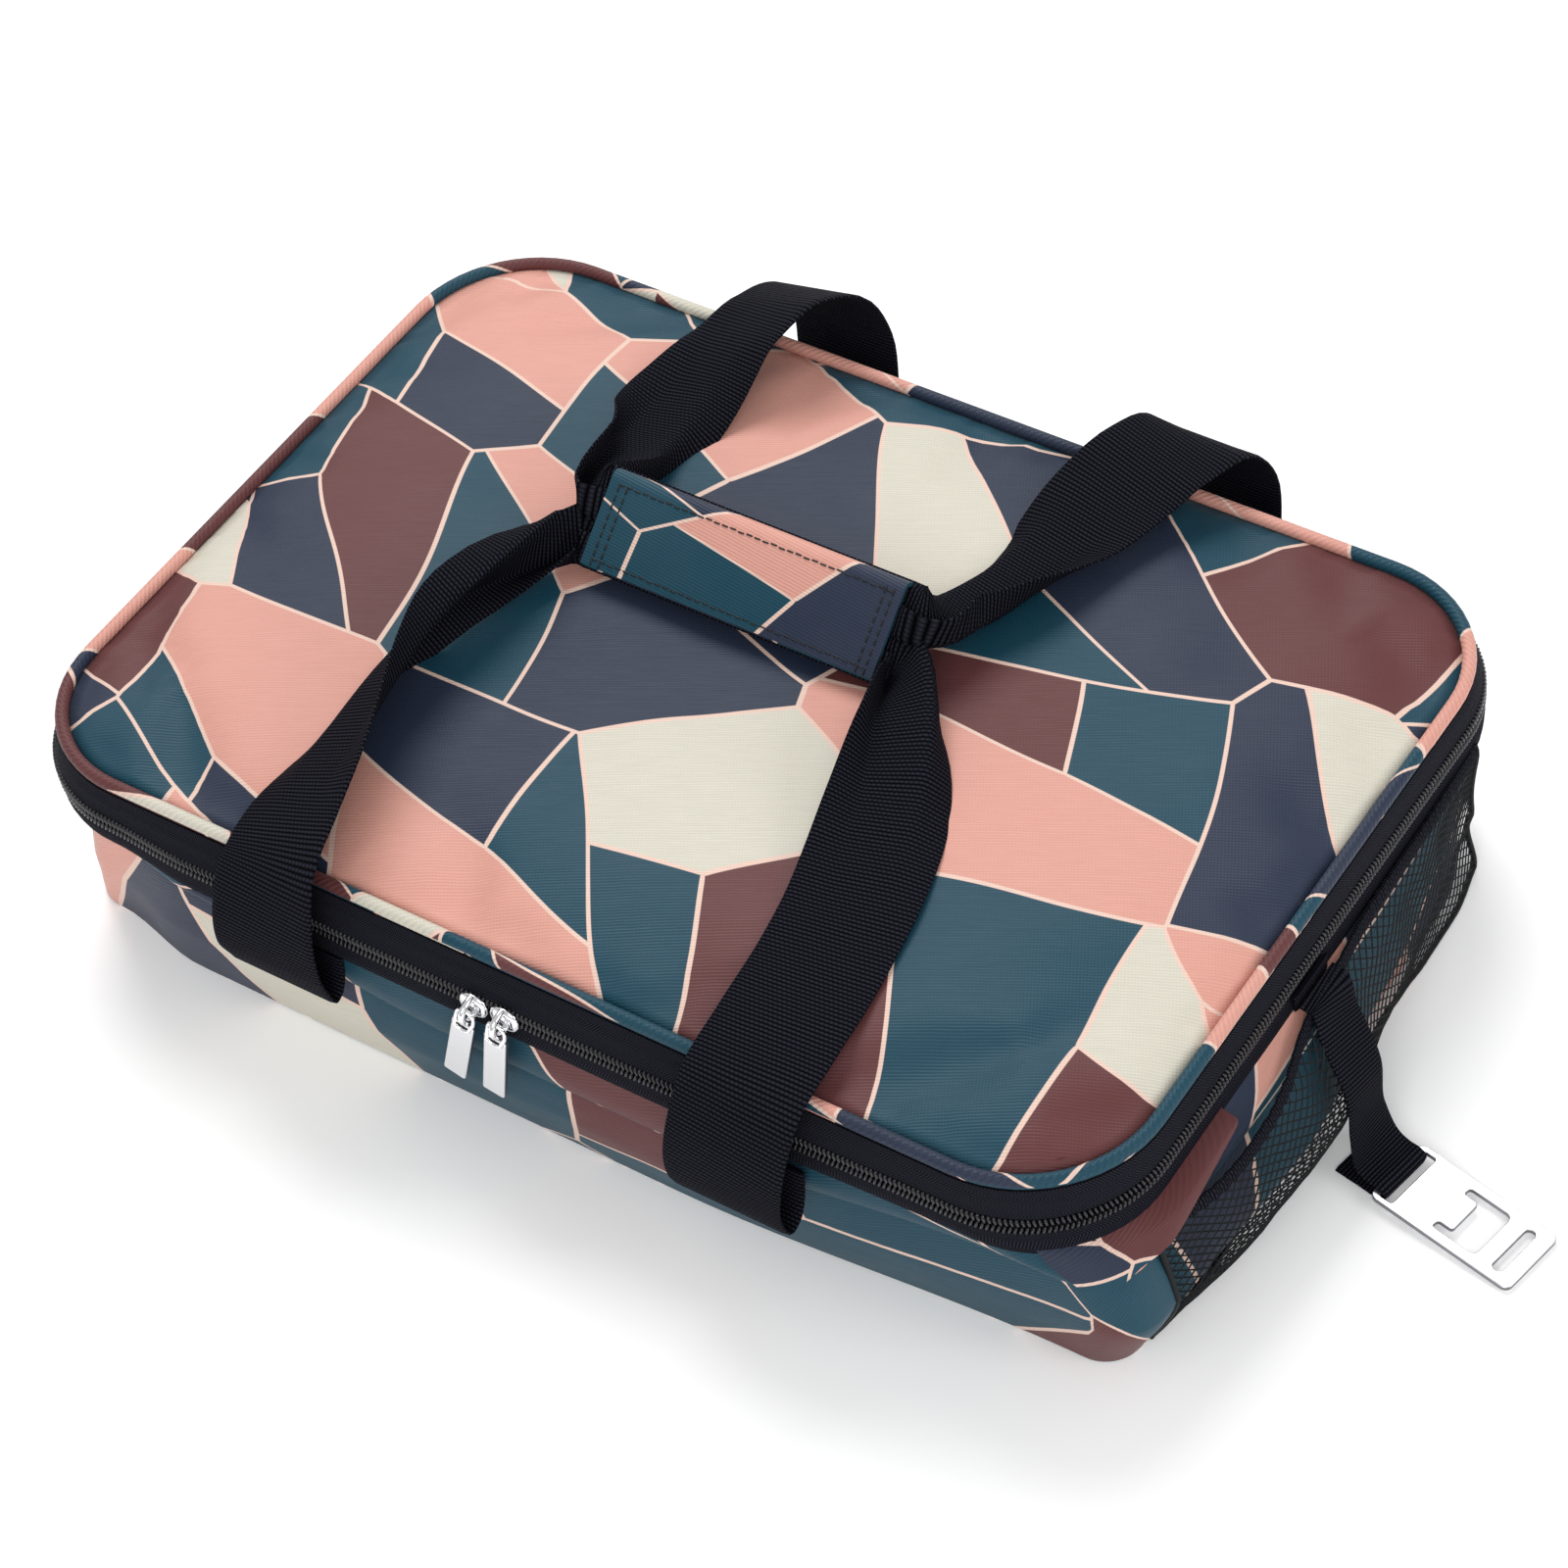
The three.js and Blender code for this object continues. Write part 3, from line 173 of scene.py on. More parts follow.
class Field:
    """A number that changes over a surface. Python's operators on it add Math nodes."""

    def __init__(self, recipe: "Recipe", socket: bpy.types.NodeSocket) -> None:
        """Keep the recipe that owns the socket."""
        self.recipe = recipe
        self.socket = socket

    def maths(self, operation: str, *operands: Operand, clamp: bool = False) -> "Field":
        """Add one Math node.

        Args:
            operation: The node's operation.
            operands: Its inputs in order.
            clamp: Whether the result is held between 0 and 1.

        Returns:
            The node's value.
        """
        settings = {"operation": operation, "use_clamp": clamp}
        made = self.recipe.node("ShaderNodeMath", settings, dict(enumerate(operands)))
        return Field(self.recipe, made.outputs[0])

    def __add__(self, other: Operand) -> "Field":
        """Add a number or a field."""
        return self.maths("ADD", self, other)

    def __radd__(self, other: Operand) -> "Field":
        """Add this field to a number."""
        return self.maths("ADD", other, self)

    def __sub__(self, other: Operand) -> "Field":
        """Take a number or a field away."""
        return self.maths("SUBTRACT", self, other)

    def __rsub__(self, other: Operand) -> "Field":
        """Take this field away from a number."""
        return self.maths("SUBTRACT", other, self)

    def __mul__(self, other: Operand) -> "Field":
        """Multiply by a number or a field."""
        return self.maths("MULTIPLY", self, other)

    def __rmul__(self, other: Operand) -> "Field":
        """Multiply a number by this field."""
        return self.maths("MULTIPLY", other, self)

    def __truediv__(self, other: Operand) -> "Field":
        """Divide by a number or a field."""
        return self.maths("DIVIDE", self, other)

    def __abs__(self) -> "Field":
        """Drop the sign."""
        return self.maths("ABSOLUTE", self)

    def sine(self) -> "Field":
        """Take the sine of an angle in radians."""
        return self.maths("SINE", self)

    def part(self) -> "Field":
        """Keep what is left after the whole number below."""
        return self.maths("FRACT", self)

    def whole(self) -> "Field":
        """Keep the whole number below."""
        return self.maths("FLOOR", self)

    def held(self) -> "Field":
        """Hold the value between 0 and 1."""
        return self.maths("ADD", self, 0.0, clamp=True)

    def wave(self, pitch: float) -> "Field":
        """Turn a length into a wave between 0 and 1 that repeats at a pitch."""
        return (self * (TURN / pitch)).sine() * 0.5 + 0.5


class Recipe:
    """Builds the nodes of one material."""

    def __init__(self, name: str) -> None:
        """Start an empty material with its surface shader."""
        self.material = bpy.data.materials.new(name)
        self.material.use_nodes = True
        self.tree = self.material.node_tree
        self.shader = self.tree.nodes["Principled BSDF"]

    def node(self, kind: str, settings: dict, inputs: dict) -> bpy.types.Node:
        """Add a node.

        Args:
            kind: The node's type.
            settings: Its own settings, set first. "stops" fills a colour ramp.
            inputs: Values, fields or sockets by input name or number.

        Returns:
            The node.
        """
        made = self.tree.nodes.new(kind)
        for key, value in settings.items():
            if key == "stops":
                self._fill_ramp(made.color_ramp, value)
            else:
                setattr(made, key, value)
        for key, value in inputs.items():
            self.feed(made.inputs[key], value)
        return made

    def _fill_ramp(self, ramp: bpy.types.ColorRamp, stops: Sequence[tuple[float, Colour]]) -> None:
        """Give a colour ramp hard steps at the stops."""
        ramp.interpolation = "CONSTANT"
        while len(ramp.elements) < len(stops):
            ramp.elements.new(1.0)
        for element, (place, colour) in zip(ramp.elements, stops):
            element.position = place
            element.color = (*colour, 1.0)

    def feed(self, socket: bpy.types.NodeSocket, value: object) -> None:
        """Link or set one input."""
        if isinstance(value, Field):
            self.tree.links.new(value.socket, socket)
        elif isinstance(value, bpy.types.NodeSocket):
            self.tree.links.new(value, socket)
        elif isinstance(value, tuple) and socket.type == "RGBA":
            socket.default_value = (*value[:3], 1.0)
        else:
            socket.default_value = value

    def flat(self) -> tuple[bpy.types.NodeSocket, Field, Field]:
        """Read the piece's flat coordinates, in metres of cloth.

        Returns:
            The coordinates as a vector, and their first and second number.
        """
        source = self.node("ShaderNodeUVMap", {"uv_map": "Flat"}, {}).outputs[0]
        parts = self.node("ShaderNodeSeparateXYZ", {}, {0: source})
        return source, Field(self, parts.outputs[0]), Field(self, parts.outputs[1])

    def place(self) -> bpy.types.NodeSocket:
        """Read the place on the piece, in metres."""
        return self.node("ShaderNodeTexCoord", {}, {}).outputs["Object"]

    def vector(self, operation: str, *operands: object) -> bpy.types.NodeSocket:
        """Add a Vector Math node and return its vector."""
        inputs = dict(enumerate(operands))
        if operation == "SCALE":
            inputs = {0: operands[0], "Scale": operands[1]}
        return self.node("ShaderNodeVectorMath", {"operation": operation}, inputs).outputs[0]

    def noise(self, where: bpy.types.NodeSocket, size: float, detail: float = 2.0) -> bpy.types.Node:
        """Add a noise whose bumps are of a size in metres."""
        return self.node("ShaderNodeTexNoise", {}, {"Vector": where, "Scale": 1 / size, "Detail": detail})

    def noise_value(self, where: bpy.types.NodeSocket, size: float, detail: float = 2.0) -> Field:
        """Read a noise as a number about one half."""
        return Field(self, self.noise(where, size, detail).outputs[0])

    def mix(self, factor: Operand, low: object, high: object) -> bpy.types.NodeSocket:
        """Mix two colours, with a factor that says how much of the second."""
        made = self.node("ShaderNodeMix", {"data_type": "RGBA"}, {})
        for socket, value in ((made.inputs[0], factor), (made.inputs[6], low), (made.inputs[7], high)):
            self.feed(socket, value)
        return made.outputs[2]

    def shade(self, colour: object, share: Field, depth: float) -> bpy.types.NodeSocket:
        """Darken a colour where a share is high, by at most a depth."""
        return self.mix(share * depth, colour, (0.0, 0.0, 0.0))

    def bump(self, height: Field, distance: float, after: object = None) -> bpy.types.NodeSocket:
        """Turn a height between 0 and 1 into a normal.

        Args:
            height: The height.
            distance: What one unit of it stands for, in metres.
            after: A normal to add it to.

        Returns:
            The normal.
        """
        inputs = {"Height": height, "Distance": distance, "Strength": 1.0}
        if after is not None:
            inputs["Normal"] = after
        return self.node("ShaderNodeBump", {}, inputs).outputs[0]

    def finish(self, **sockets: object) -> bpy.types.Material:
        """Feed the surface shader.

        Args:
            sockets: Values by input name, with an underscore for each space.

        Returns:
            The finished material.
        """
        for name, value in sockets.items():
            self.feed(self.shader.inputs[name.replace("_", " ")], value)
        return self.material


# Finishes

TEAL: Colour = (0.003, 0.056, 0.092)
NAVY: Colour = (0.0175, 0.0285, 0.061)
PLUM: Colour = (0.130, 0.036, 0.037)
PEACH: Colour = (0.755, 0.367, 0.296)
CREAM: Colour = (0.70, 0.665, 0.56)
PINK_LINE: Colour = (0.86, 0.62, 0.52)


@dataclass(frozen=True)
class PrintedFabric:
    """Satin-faced polyester with a generic mosaic of wedges and thin pale outlines.

    The ribs run at an angle to the flat coordinates, and their valleys carry painted shade. shift picks another
    part of the mosaic.
    """

    name: str
    shift: tuple[float, float, float] = (0.0, 0.0, 0.0)
    cell: tuple[float, float] = (0.132, 0.088)
    lean: float = 24.0
    warp: float = 0.030
    warp_size: float = 0.14
    line: float = 0.0085
    rib_angle: float = 28.0
    rib_pitch: float = 0.00115
    rib_depth: float = 0.00011
    wedges: float = 3.0
    uneven: float = 0.5

    def make(self) -> bpy.types.Material:
        """Build the material."""
        mat = Recipe(self.name)
        flat, across, along = mat.flat()
        moved = mat.vector("ADD", flat, self.shift)
        wander = mat.noise(moved, self.warp_size, 1.0).outputs[1]
        pull = mat.vector("SCALE", mat.vector("SUBTRACT", wander, (0.5, 0.5, 0.5)), self.warp)
        bent = mat.vector("ADD", moved, pull)
        turned = mat.node("ShaderNodeVectorRotate", {"rotation_type": "Z_AXIS"},
                          {"Vector": bent, "Angle": math.radians(self.lean)}).outputs[0]
        cells = mat.vector("MULTIPLY", turned, (1 / self.cell[0], 1 / self.cell[1], 1.0))
        pick, border = self._shapes(mat, cells)
        stops = [(0.0, TEAL), (0.34, NAVY), (0.54, PLUM), (0.70, PEACH), (0.86, CREAM)]
        patch = mat.node("ShaderNodeValToRGB", {"stops": stops}, {0: pick}).outputs[0]
        outline = ((self.line - border) * 420.0).held()
        printed = mat.mix(outline, patch, PINK_LINE)
        turn = math.radians(self.rib_angle)
        run = along * math.cos(turn) - across * math.sin(turn)
        down = across * math.cos(turn) + along * math.sin(turn)
        jitter = mat.noise_value(flat, 0.03) * 0.0009
        rib = (run + jitter).wave(self.rib_pitch)
        yarn = down.wave(0.0011)
        pulled = mat.node("ShaderNodeCombineXYZ", {}, {0: down * 0.09, 1: run}).outputs[0]
        streak = mat.noise_value(pulled, 0.0012, 3.0)
        cloudy = mat.noise_value(flat, 0.05, 3.0)
        washed = mat.mix((cloudy - 0.35) * 0.05, printed, (0.62, 0.62, 0.64))
        # Painted shade in the rib valleys, plus the weave's own uneven tone from the yarn and streak terms.
        rib_shade_and_streaks = mat.shade(washed, (1 - rib) * 0.45 + yarn * 0.15 + streak * 0.5, 0.22)
        height = rib * 0.7 + yarn * 0.2 + streak * 0.5
        return mat.finish(
            Base_Color=rib_shade_and_streaks,
            Roughness=0.40 + (1 - rib) * 0.08 + streak * 0.10 + cloudy * 0.06,
            Normal=mat.bump(height, self.rib_depth),
            Sheen_Weight=0.03,
            Sheen_Roughness=0.5,
            Specular_IOR_Level=0.28,
        )

    def _shapes(self, mat: Recipe, cells: bpy.types.NodeSocket) -> tuple[Field, Field]:
        """Lay out the mosaic: uneven patches, each cut into wedges that meet in one point.

        Args:
            mat: The material's recipe.
            cells: Flat coordinates, one unit a patch.

        Returns:
            A random number for each shape, and the distance to the nearest border.
        """
        look = {"voronoi_dimensions": "2D"}
        inputs = {"Vector": cells, "Scale": 1.0, "Randomness": 0.96}
        patches = mat.node("ShaderNodeTexVoronoi", look, inputs)
        edges = mat.node("ShaderNodeTexVoronoi", {**look, "feature": "DISTANCE_TO_EDGE"}, inputs)
        drawn = mat.node("ShaderNodeSeparateColor", {}, {0: patches.outputs["Color"]})
        first, second, third = (Field(mat, drawn.outputs[index]) for index in range(3))
        centred = mat.vector("SUBTRACT", cells, patches.outputs["Position"])
        local = mat.node("ShaderNodeSeparateXYZ", {}, {0: centred})
        right, up = Field(mat, local.outputs[0]), Field(mat, local.outputs[1])
        turn = up.maths("ARCTAN2", up, right)
        phase = turn + second * TURN
        bent = (turn + phase.sine() * self.uneven) / TURN * self.wedges + third
        spread = 1.0 + (phase + math.pi / 2).sine() * self.uneven
        near = 0.5 - abs(bent.part() - 0.5)
        reach = (right * right + up * up).maths("SQRT", right * right + up * up)
        ray = reach * near * (TURN / self.wedges) / spread
        index = bent.maths("MODULO", bent.whole() + self.wedges * 2, self.wedges)
        pick = (first + index * 0.37).part()
        border = ray.maths("MINIMUM", ray, Field(mat, edges.outputs[0]))
        return pick, border


@dataclass(frozen=True)
class Webbing:
    """Black woven strap with crosswise ribs and small staggered stitches of yarn."""

    name: str
    rib: float = 0.0016
    column: float = 0.0017
    depth: float = 0.00044

    def make(self) -> bpy.types.Material:
        """Build the material."""
        mat = Recipe(self.name)
        flat, across, along = mat.flat()
        sway = mat.noise_value(flat, 0.02) * 0.0006
        run = (along + sway) / self.rib
        row = run.whole() * 0.5
        ridge = abs((run.part() * math.pi).sine())
        bead = abs(((across / self.column + row) * math.pi).sine())
        height = ridge * (0.62 + bead * 0.38)
        fuzz = mat.noise_value(flat, 0.0011, 3.0)
        # Painted light: lighter and bluer on the rib tops, a painted highlight, and near black between them,
        # painted shade. The fuzz adds uneven tone.
        lit_ridges_and_fuzz = (height * 0.85 + fuzz * 0.15).held()
        tone = mat.mix(lit_ridges_and_fuzz * lit_ridges_and_fuzz, (0.0001, 0.0001, 0.0006), (0.0290, 0.0298, 0.0430))
        return mat.finish(
            Base_Color=tone,
            Roughness=0.56 + fuzz * 0.2,
            Normal=mat.bump(height + fuzz * 0.12, self.depth),
            Specular_IOR_Level=0.02,
        )


@dataclass(frozen=True)
class HerringboneTape:
    """Black zip tape woven in a zigzag."""

    name: str
    stripe: float = 0.0046
    thread: float = 0.00115
    depth: float = 0.00026

    def make(self) -> bpy.types.Material:
        """Build the material."""
        mat = Recipe(self.name)
        flat, across, along = mat.flat()
        zigzag = abs((along / self.stripe).part() - 0.5) * self.stripe * 1.2
        thread = (across + zigzag).wave(self.thread)
        fuzz = mat.noise_value(flat, 0.0014, 3.0)
        # Painted light: lighter on the raised threads, a painted highlight, and darker between them, painted
        # shade. The fuzz adds uneven tone.
        tone = mat.mix((thread * 0.8 + fuzz * 0.2).held(), (0.0003, 0.0003, 0.0011), (0.0270, 0.0275, 0.0400))
        return mat.finish(
            Base_Color=tone,
            Roughness=0.6 + fuzz * 0.16,
            Normal=mat.bump(thread + fuzz * 0.15, self.depth),
            Specular_IOR_Level=0.035,
        )


@dataclass(frozen=True)
class Netting:
    """Dark slightly shiny yarn of the pocket mesh."""

    name: str

    def make(self) -> bpy.types.Material:
        """Build the material."""
        mat = Recipe(self.name)
        twist = mat.noise_value(mat.place(), 0.0009, 3.0)
        tone = mat.mix(twist, (0.0015, 0.0020, 0.0028), (0.006, 0.007, 0.009))
        return mat.finish(
            Base_Color=tone,
            Roughness=0.5 + twist * 0.2,
            Normal=mat.bump(twist, 0.0001),
            Specular_IOR_Level=0.25,
        )


@dataclass(frozen=True)
class SmoothPlastic:
    """Moulded or drawn plastic with faint unevenness."""

    name: str
    tone: Colour
    roughness: float = 0.35
    grain: float = 0.0015
    depth: float = 0.00003

    def make(self) -> bpy.types.Material:
        """Build the material."""
        mat = Recipe(self.name)
        uneven = mat.noise_value(mat.place(), self.grain, 3.0)
        shade = mat.mix(uneven * 0.3, self.tone, tuple(0.55 * part for part in self.tone))
        return mat.finish(
            Base_Color=shade,
            Roughness=self.roughness + (uneven - 0.5) * 0.12,
            Normal=mat.bump(uneven, self.depth),
        )


@dataclass(frozen=True)
class SilverLiner:
    """Soft metallic film, lightly quilted and creased."""

    name: str
    quilt: float = 0.034

    def make(self) -> bpy.types.Material:
        """Build the material."""
        mat = Recipe(self.name)
        flat, across, along = mat.flat()
        first = abs(((across + along) / self.quilt * math.pi).sine())
        second = abs(((across - along) / self.quilt * math.pi).sine())
        puff = (first * second).maths("POWER", first * second, 0.35)
        creases = mat.noise_value(flat, 0.012, 5.0)
        # Painted light: dark in the quilt seams, painted shade, and light on the puffs, a painted highlight.
        tone = mat.mix(puff, (0.36, 0.37, 0.38), (0.66, 0.67, 0.69))
        rough = mat.bump(creases, 0.0012)
        return mat.finish(
            Base_Color=tone,
            Metallic=0.75,
            Roughness=0.26 + creases * 0.2,
            Normal=mat.bump(puff, 0.0018, rough),
        )


@dataclass(frozen=True)
class Metal:
    """Bare metal, from mirror polish to a fine brushed satin."""

    name: str
    tone: Colour
    roughness: float
    brushed: float = 0.0

    def make(self) -> bpy.types.Material:
        """Build the material."""
        mat = Recipe(self.name)
        place = mat.place()
        smudge = mat.noise_value(place, 0.006, 3.0)
        drawn = mat.vector("MULTIPLY", place, (0.06, 1.0, 1.0))
        lines = mat.noise_value(drawn, 0.00035, 2.0)
        tone = mat.mix(lines * self.brushed, self.tone, tuple(0.8 * part for part in self.tone))
        return mat.finish(
            Base_Color=tone,
            Metallic=1.0,
            Roughness=self.roughness + smudge * 0.06 + lines * 0.10 * self.brushed,
            Normal=mat.bump(lines * self.brushed + smudge * 0.1, 0.00002),
        )


@dataclass(frozen=True)
class Paper:
    """Matt studio sweep."""

    name: str
    tone: Colour = (0.97, 0.97, 0.97)

    def make(self) -> bpy.types.Material:
        """Build the material."""
        mat = Recipe(self.name)
        mottle = mat.noise_value(mat.place(), 0.4)
        tone = mat.mix(mottle * 0.05, self.tone, tuple(0.96 * part for part in self.tone))
        return mat.finish(Base_Color=tone, Roughness=0.85, Specular_IOR_Level=0.2,
                          Emission_Color=(1.0, 1.0, 1.0, 1.0), Emission_Strength=0.12)


class Finish(Enum):
    """The finishes of the cooler box and its studio."""

    PRINT = PrintedFabric("printed_fabric")
    PRINT_WALL = PrintedFabric("printed_wall", shift=(0.31, 0.47, 0.0), lean=12.0, rib_angle=18.0)
    PRINT_GRIP = PrintedFabric("printed_grip", shift=(0.872, 0.155, 0.0), cell=(0.105, 0.042), line=0.0095,
                               lean=4.0, warp=0.006, rib_angle=-6.0)
    PIPING = PrintedFabric("printed_piping", shift=(1.9, 0.66, 0.0), cell=(0.11, 0.07), lean=30.0,
                           rib_angle=48.0, rib_pitch=0.0019, rib_depth=0.00022)
    WEBBING = Webbing("black_webbing")
    STRAP = Webbing("opener_strap", rib=0.0014, column=0.0015)
    ELASTIC = Webbing("pocket_elastic", rib=0.0012, column=0.0024, depth=0.00022)
    TAPE = HerringboneTape("zip_tape")
    THREAD = SmoothPlastic("black_thread", (0.004, 0.004, 0.005), roughness=0.55, grain=0.0006, depth=0.0001)
    COIL = SmoothPlastic("zip_teeth", (0.015, 0.015, 0.019), roughness=0.09)
    NET = Netting("pocket_mesh")
    LINER = SilverLiner("silver_liner")
    BOARD = SmoothPlastic("stiff_board", (0.05, 0.055, 0.06), roughness=0.6, grain=0.004, depth=0.0002)
    CHROME = Metal("chrome", (0.93, 0.93, 0.95), roughness=0.10)
    STEEL = Metal("satin_steel", (0.92, 0.925, 0.95), roughness=0.26, brushed=0.3)
    # A darker copy of the metal for the narrow edges of the pulls and the opener: painted shade.
    SHADED_EDGE_METAL = Metal("shaded_edge_metal", (0.24, 0.24, 0.26), roughness=0.32, brushed=0.3)
    PAPER = Paper("studio_paper")


class Wardrobe:
    """Makes each finish once and hands it out."""

    def __init__(self) -> None:
        """Start with nothing made."""
        self._made: dict[Finish, bpy.types.Material] = {}

    def get(self, finish: Finish) -> bpy.types.Material:
        """Return a finish's material, made on first use."""
        if finish not in self._made:
            self._made[finish] = finish.value.make()
        return self._made[finish]


WARDROBE = Wardrobe()


# Mesh drafts

class Draft:
    """Collects points in mm, faces and flat coordinates, and becomes one object.

    The faces of a closed mesh are turned outward at the end, so they can be added either way round.
    """

    def __init__(self) -> None:
        """Start empty."""
        self.points: list[Points] = []
        self.faces: list[list[int]] = []
        self.flat: list[Sequence[Sequence[float]]] = []
        self.count = 0

    def add_points(self, points: Points) -> int:
        """Add rows of points and return the first one's number."""
        first = self.count
        rows = np.asarray(points, float).reshape(-1, 3)
        self.points.append(rows)
        self.count += len(rows)
        return first

    def face(self, corners: Sequence[int], flat: Sequence[Sequence[float]]) -> None:
        """Add one face."""
        self.faces.append(list(corners))
        self.flat.append(flat)

    def grid(self, points: Points, flat: Points, wrap: tuple[bool, bool] = (False, False),
             flip: bool = False) -> int:
        """Add a grid of quads.

        Args:
            points: Rows and columns of points in mm.
            flat: Flat coordinates in metres, with one more row or column where the grid wraps.
            wrap: Whether rows and columns close on themselves.
            flip: Whether the faces look the other way.

        Returns:
            The number of the grid's first point.
        """
        rows, columns = points.shape[:2]
        first = self.add_points(points)
        for i in range(rows if wrap[0] else rows - 1):
            for k in range(columns if wrap[1] else columns - 1):
                ring = [(i, k), (i + 1, k), (i + 1, k + 1), (i, k + 1)]
                if flip:
                    ring.reverse()
                corners = [first + (a % rows) * columns + b % columns for a, b in ring]
                self.face(corners, [flat[a][b] for a, b in ring])
        return first

    def bar(self, points: Points, flat: Points | None = None) -> None:
        """Join rings of points into a solid bar with closed ends.

        Args:
            points: One ring a row, in mm.
            flat: Flat coordinates in metres, with one more column than the rings have points.
        """
        rows, count = points.shape[:2]
        if flat is None:
            flat = np.zeros((rows, count + 1, 2))
        first = self.grid(points, flat, (False, True), flip=True)
        last = first + (rows - 1) * count
        for end in (range(first, first + count)[::-1], range(last, last + count)):
            self.face(end, [(0.0, 0.0)] * count)

    def build(self, name: str, finish: Finish, sharp: float = 50.0) -> bpy.types.Object:
        """Make the object.

        Args:
            name: The piece's name.
            finish: Its finish.
            sharp: Edges that turn more than this, in degrees, stay crisp.

        Returns:
            The object, in metres at the origin.
        """
        mesh = bpy.data.meshes.new(name)
        mesh.from_pydata((np.vstack(self.points) * MM).tolist(), [], self.faces)
        layer = mesh.uv_layers.new(name="Flat")
        spread = [value for face in self.flat for corner in face for value in corner]
        layer.data.foreach_set("uv", np.array(spread, np.float32))
        mesh.polygons.foreach_set("use_smooth", np.ones(len(mesh.polygons), bool))
        face_outward(mesh)
        mesh.set_sharp_from_angle(angle=math.radians(sharp))
        mesh.materials.append(WARDROBE.get(finish))
        mesh.validate(clean_customdata=False)
        mesh.update()
        piece = bpy.data.objects.new(name, mesh)
        bpy.context.scene.collection.objects.link(piece)
        log.info("%s: %d faces", name, len(mesh.polygons))
        return piece


def face_outward(mesh: bpy.types.Mesh) -> None:
    """Turn the faces of a closed mesh outward. An open one stays as it is."""
    solid = bmesh.new()
    solid.from_mesh(mesh)
    if all(len(edge.link_faces) == 2 for edge in solid.edges):
        bmesh.ops.recalc_face_normals(solid, faces=solid.faces)
        solid.to_mesh(mesh)
    solid.free()


def thicken(piece: bpy.types.Object, thickness: float) -> None:
    """Give an open sheet a thickness in mm, on its inner side."""
    thick = piece.modifiers.new("thickness", "SOLIDIFY")
    thick.thickness, thick.offset = thickness * MM, -1
    graph = bpy.context.evaluated_depsgraph_get()
    baked = bpy.data.meshes.new_from_object(piece.evaluated_get(graph), depsgraph=graph)
    piece.modifiers.clear()
    piece.data = baked


def dress(piece: bpy.types.Object, body: str, slot: str, *nodes: str) -> bpy.types.Object:
    """Let a piece ride on a body.

    Args:
        piece: The piece.
        body: The body's name.
        slot: The record's material slot; not used.
        nodes: The nodes that the piece stands for.

    Returns:
        The piece.
    """
    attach(piece, body)
    if nodes:
        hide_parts(*nodes)
    return piece


# Shared shapes of the box

@dataclass(frozen=True)
class Outline:
    """A rounded rectangle round the box, in mm.

    The soft body has slumped, so its lower outlines are shifted, bow out in front and are rounder at the back.
    """

    half_length: float
    half_width: float
    corner: float
    left_corner: float
    back_corner: float
    shift: float = 0.0
    bow: float = 0.0

    ZIP_END = 140.0
    BOW_ENDS = (0.11, 0.38)
    LEAST_RADIUS = 2.0
    CORNER_STEPS = 14
    FRONT_STEPS = 60
    SIDE_STEPS = 34
    BACK_STEPS = 6
    HINGE_STEPS = 46

    def offset(self, out: float) -> "Outline":
        """Grow the outline outward."""
        corners = (self.corner, self.left_corner, self.back_corner)
        radii = (max(self.LEAST_RADIUS, radius + out) for radius in corners)
        return Outline(self.half_length + out, self.half_width + out, *radii, self.shift, self.bow)

    def toward(self, other: "Outline", share: float) -> "Outline":
        """Mix with another outline."""
        pairs = zip(astuple(self), astuple(other))
        return Outline(*[mine + (theirs - mine) * share for mine, theirs in pairs])

    def zip_path(self) -> Points:
        """Run from the hinge's left end round the front to its right end, as x and y."""
        width = self.half_width
        left, right = self.shift - self.half_length, self.shift + self.half_length
        left_x, right_x, back_x = left + self.left_corner, right - self.corner, right - self.back_corner
        left_y, right_y, back_y = width - self.left_corner, width - self.corner, width - self.back_corner
        front = self._line((left_x, -width), (right_x, -width), self.FRONT_STEPS)
        share = (front[:, 0] - left_x) / (right_x - left_x)
        front[:, 1] -= self.bow * smooth(share / self.BOW_ENDS[0]) * smooth((1 - share) / self.BOW_ENDS[1])
        return np.vstack([
            self._line((-self.ZIP_END, width), (left_x, width), self.BACK_STEPS),
            self._arc(left_x, left_y, self.left_corner, 90),
            self._line((left, left_y), (left, -left_y), self.SIDE_STEPS),
            self._arc(left_x, -left_y, self.left_corner, 180),
            front,
            self._arc(right_x, -right_y, self.corner, 270),
            self._line((right, -right_y), (right, back_y), self.SIDE_STEPS),
            self._arc(back_x, back_y, self.back_corner, 0),
            self._line((back_x, width), (self.ZIP_END, width), self.BACK_STEPS),
            np.array([[self.ZIP_END, width]]),
        ])

    def hinge_path(self) -> Points:
        """Run along the back from the zip's right end to its left end, as x and y."""
        ends = (self.ZIP_END, self.half_width), (-self.ZIP_END, self.half_width)
        return self._line(*ends, self.HINGE_STEPS)[1:]

    def ring(self) -> Points:
        """Run once round the whole outline, as x and y."""
        return np.vstack([self.zip_path(), self.hinge_path()])

    @staticmethod
    def _line(start: tuple[float, float], end: tuple[float, float], steps: int) -> Points:
        """Step from start towards end, without end."""
        share = np.arange(steps)[:, None] / steps
        return np.array(start) * (1 - share) + np.array(end) * share

    def _arc(self, x: float, y: float, radius: float, degrees: float) -> Points:
        """Step round a quarter turn, without its end."""
        angles = np.radians(degrees + 90 * np.arange(self.CORNER_STEPS) / self.CORNER_STEPS)
        return np.column_stack([x + radius * np.cos(angles), y + radius * np.sin(angles)])


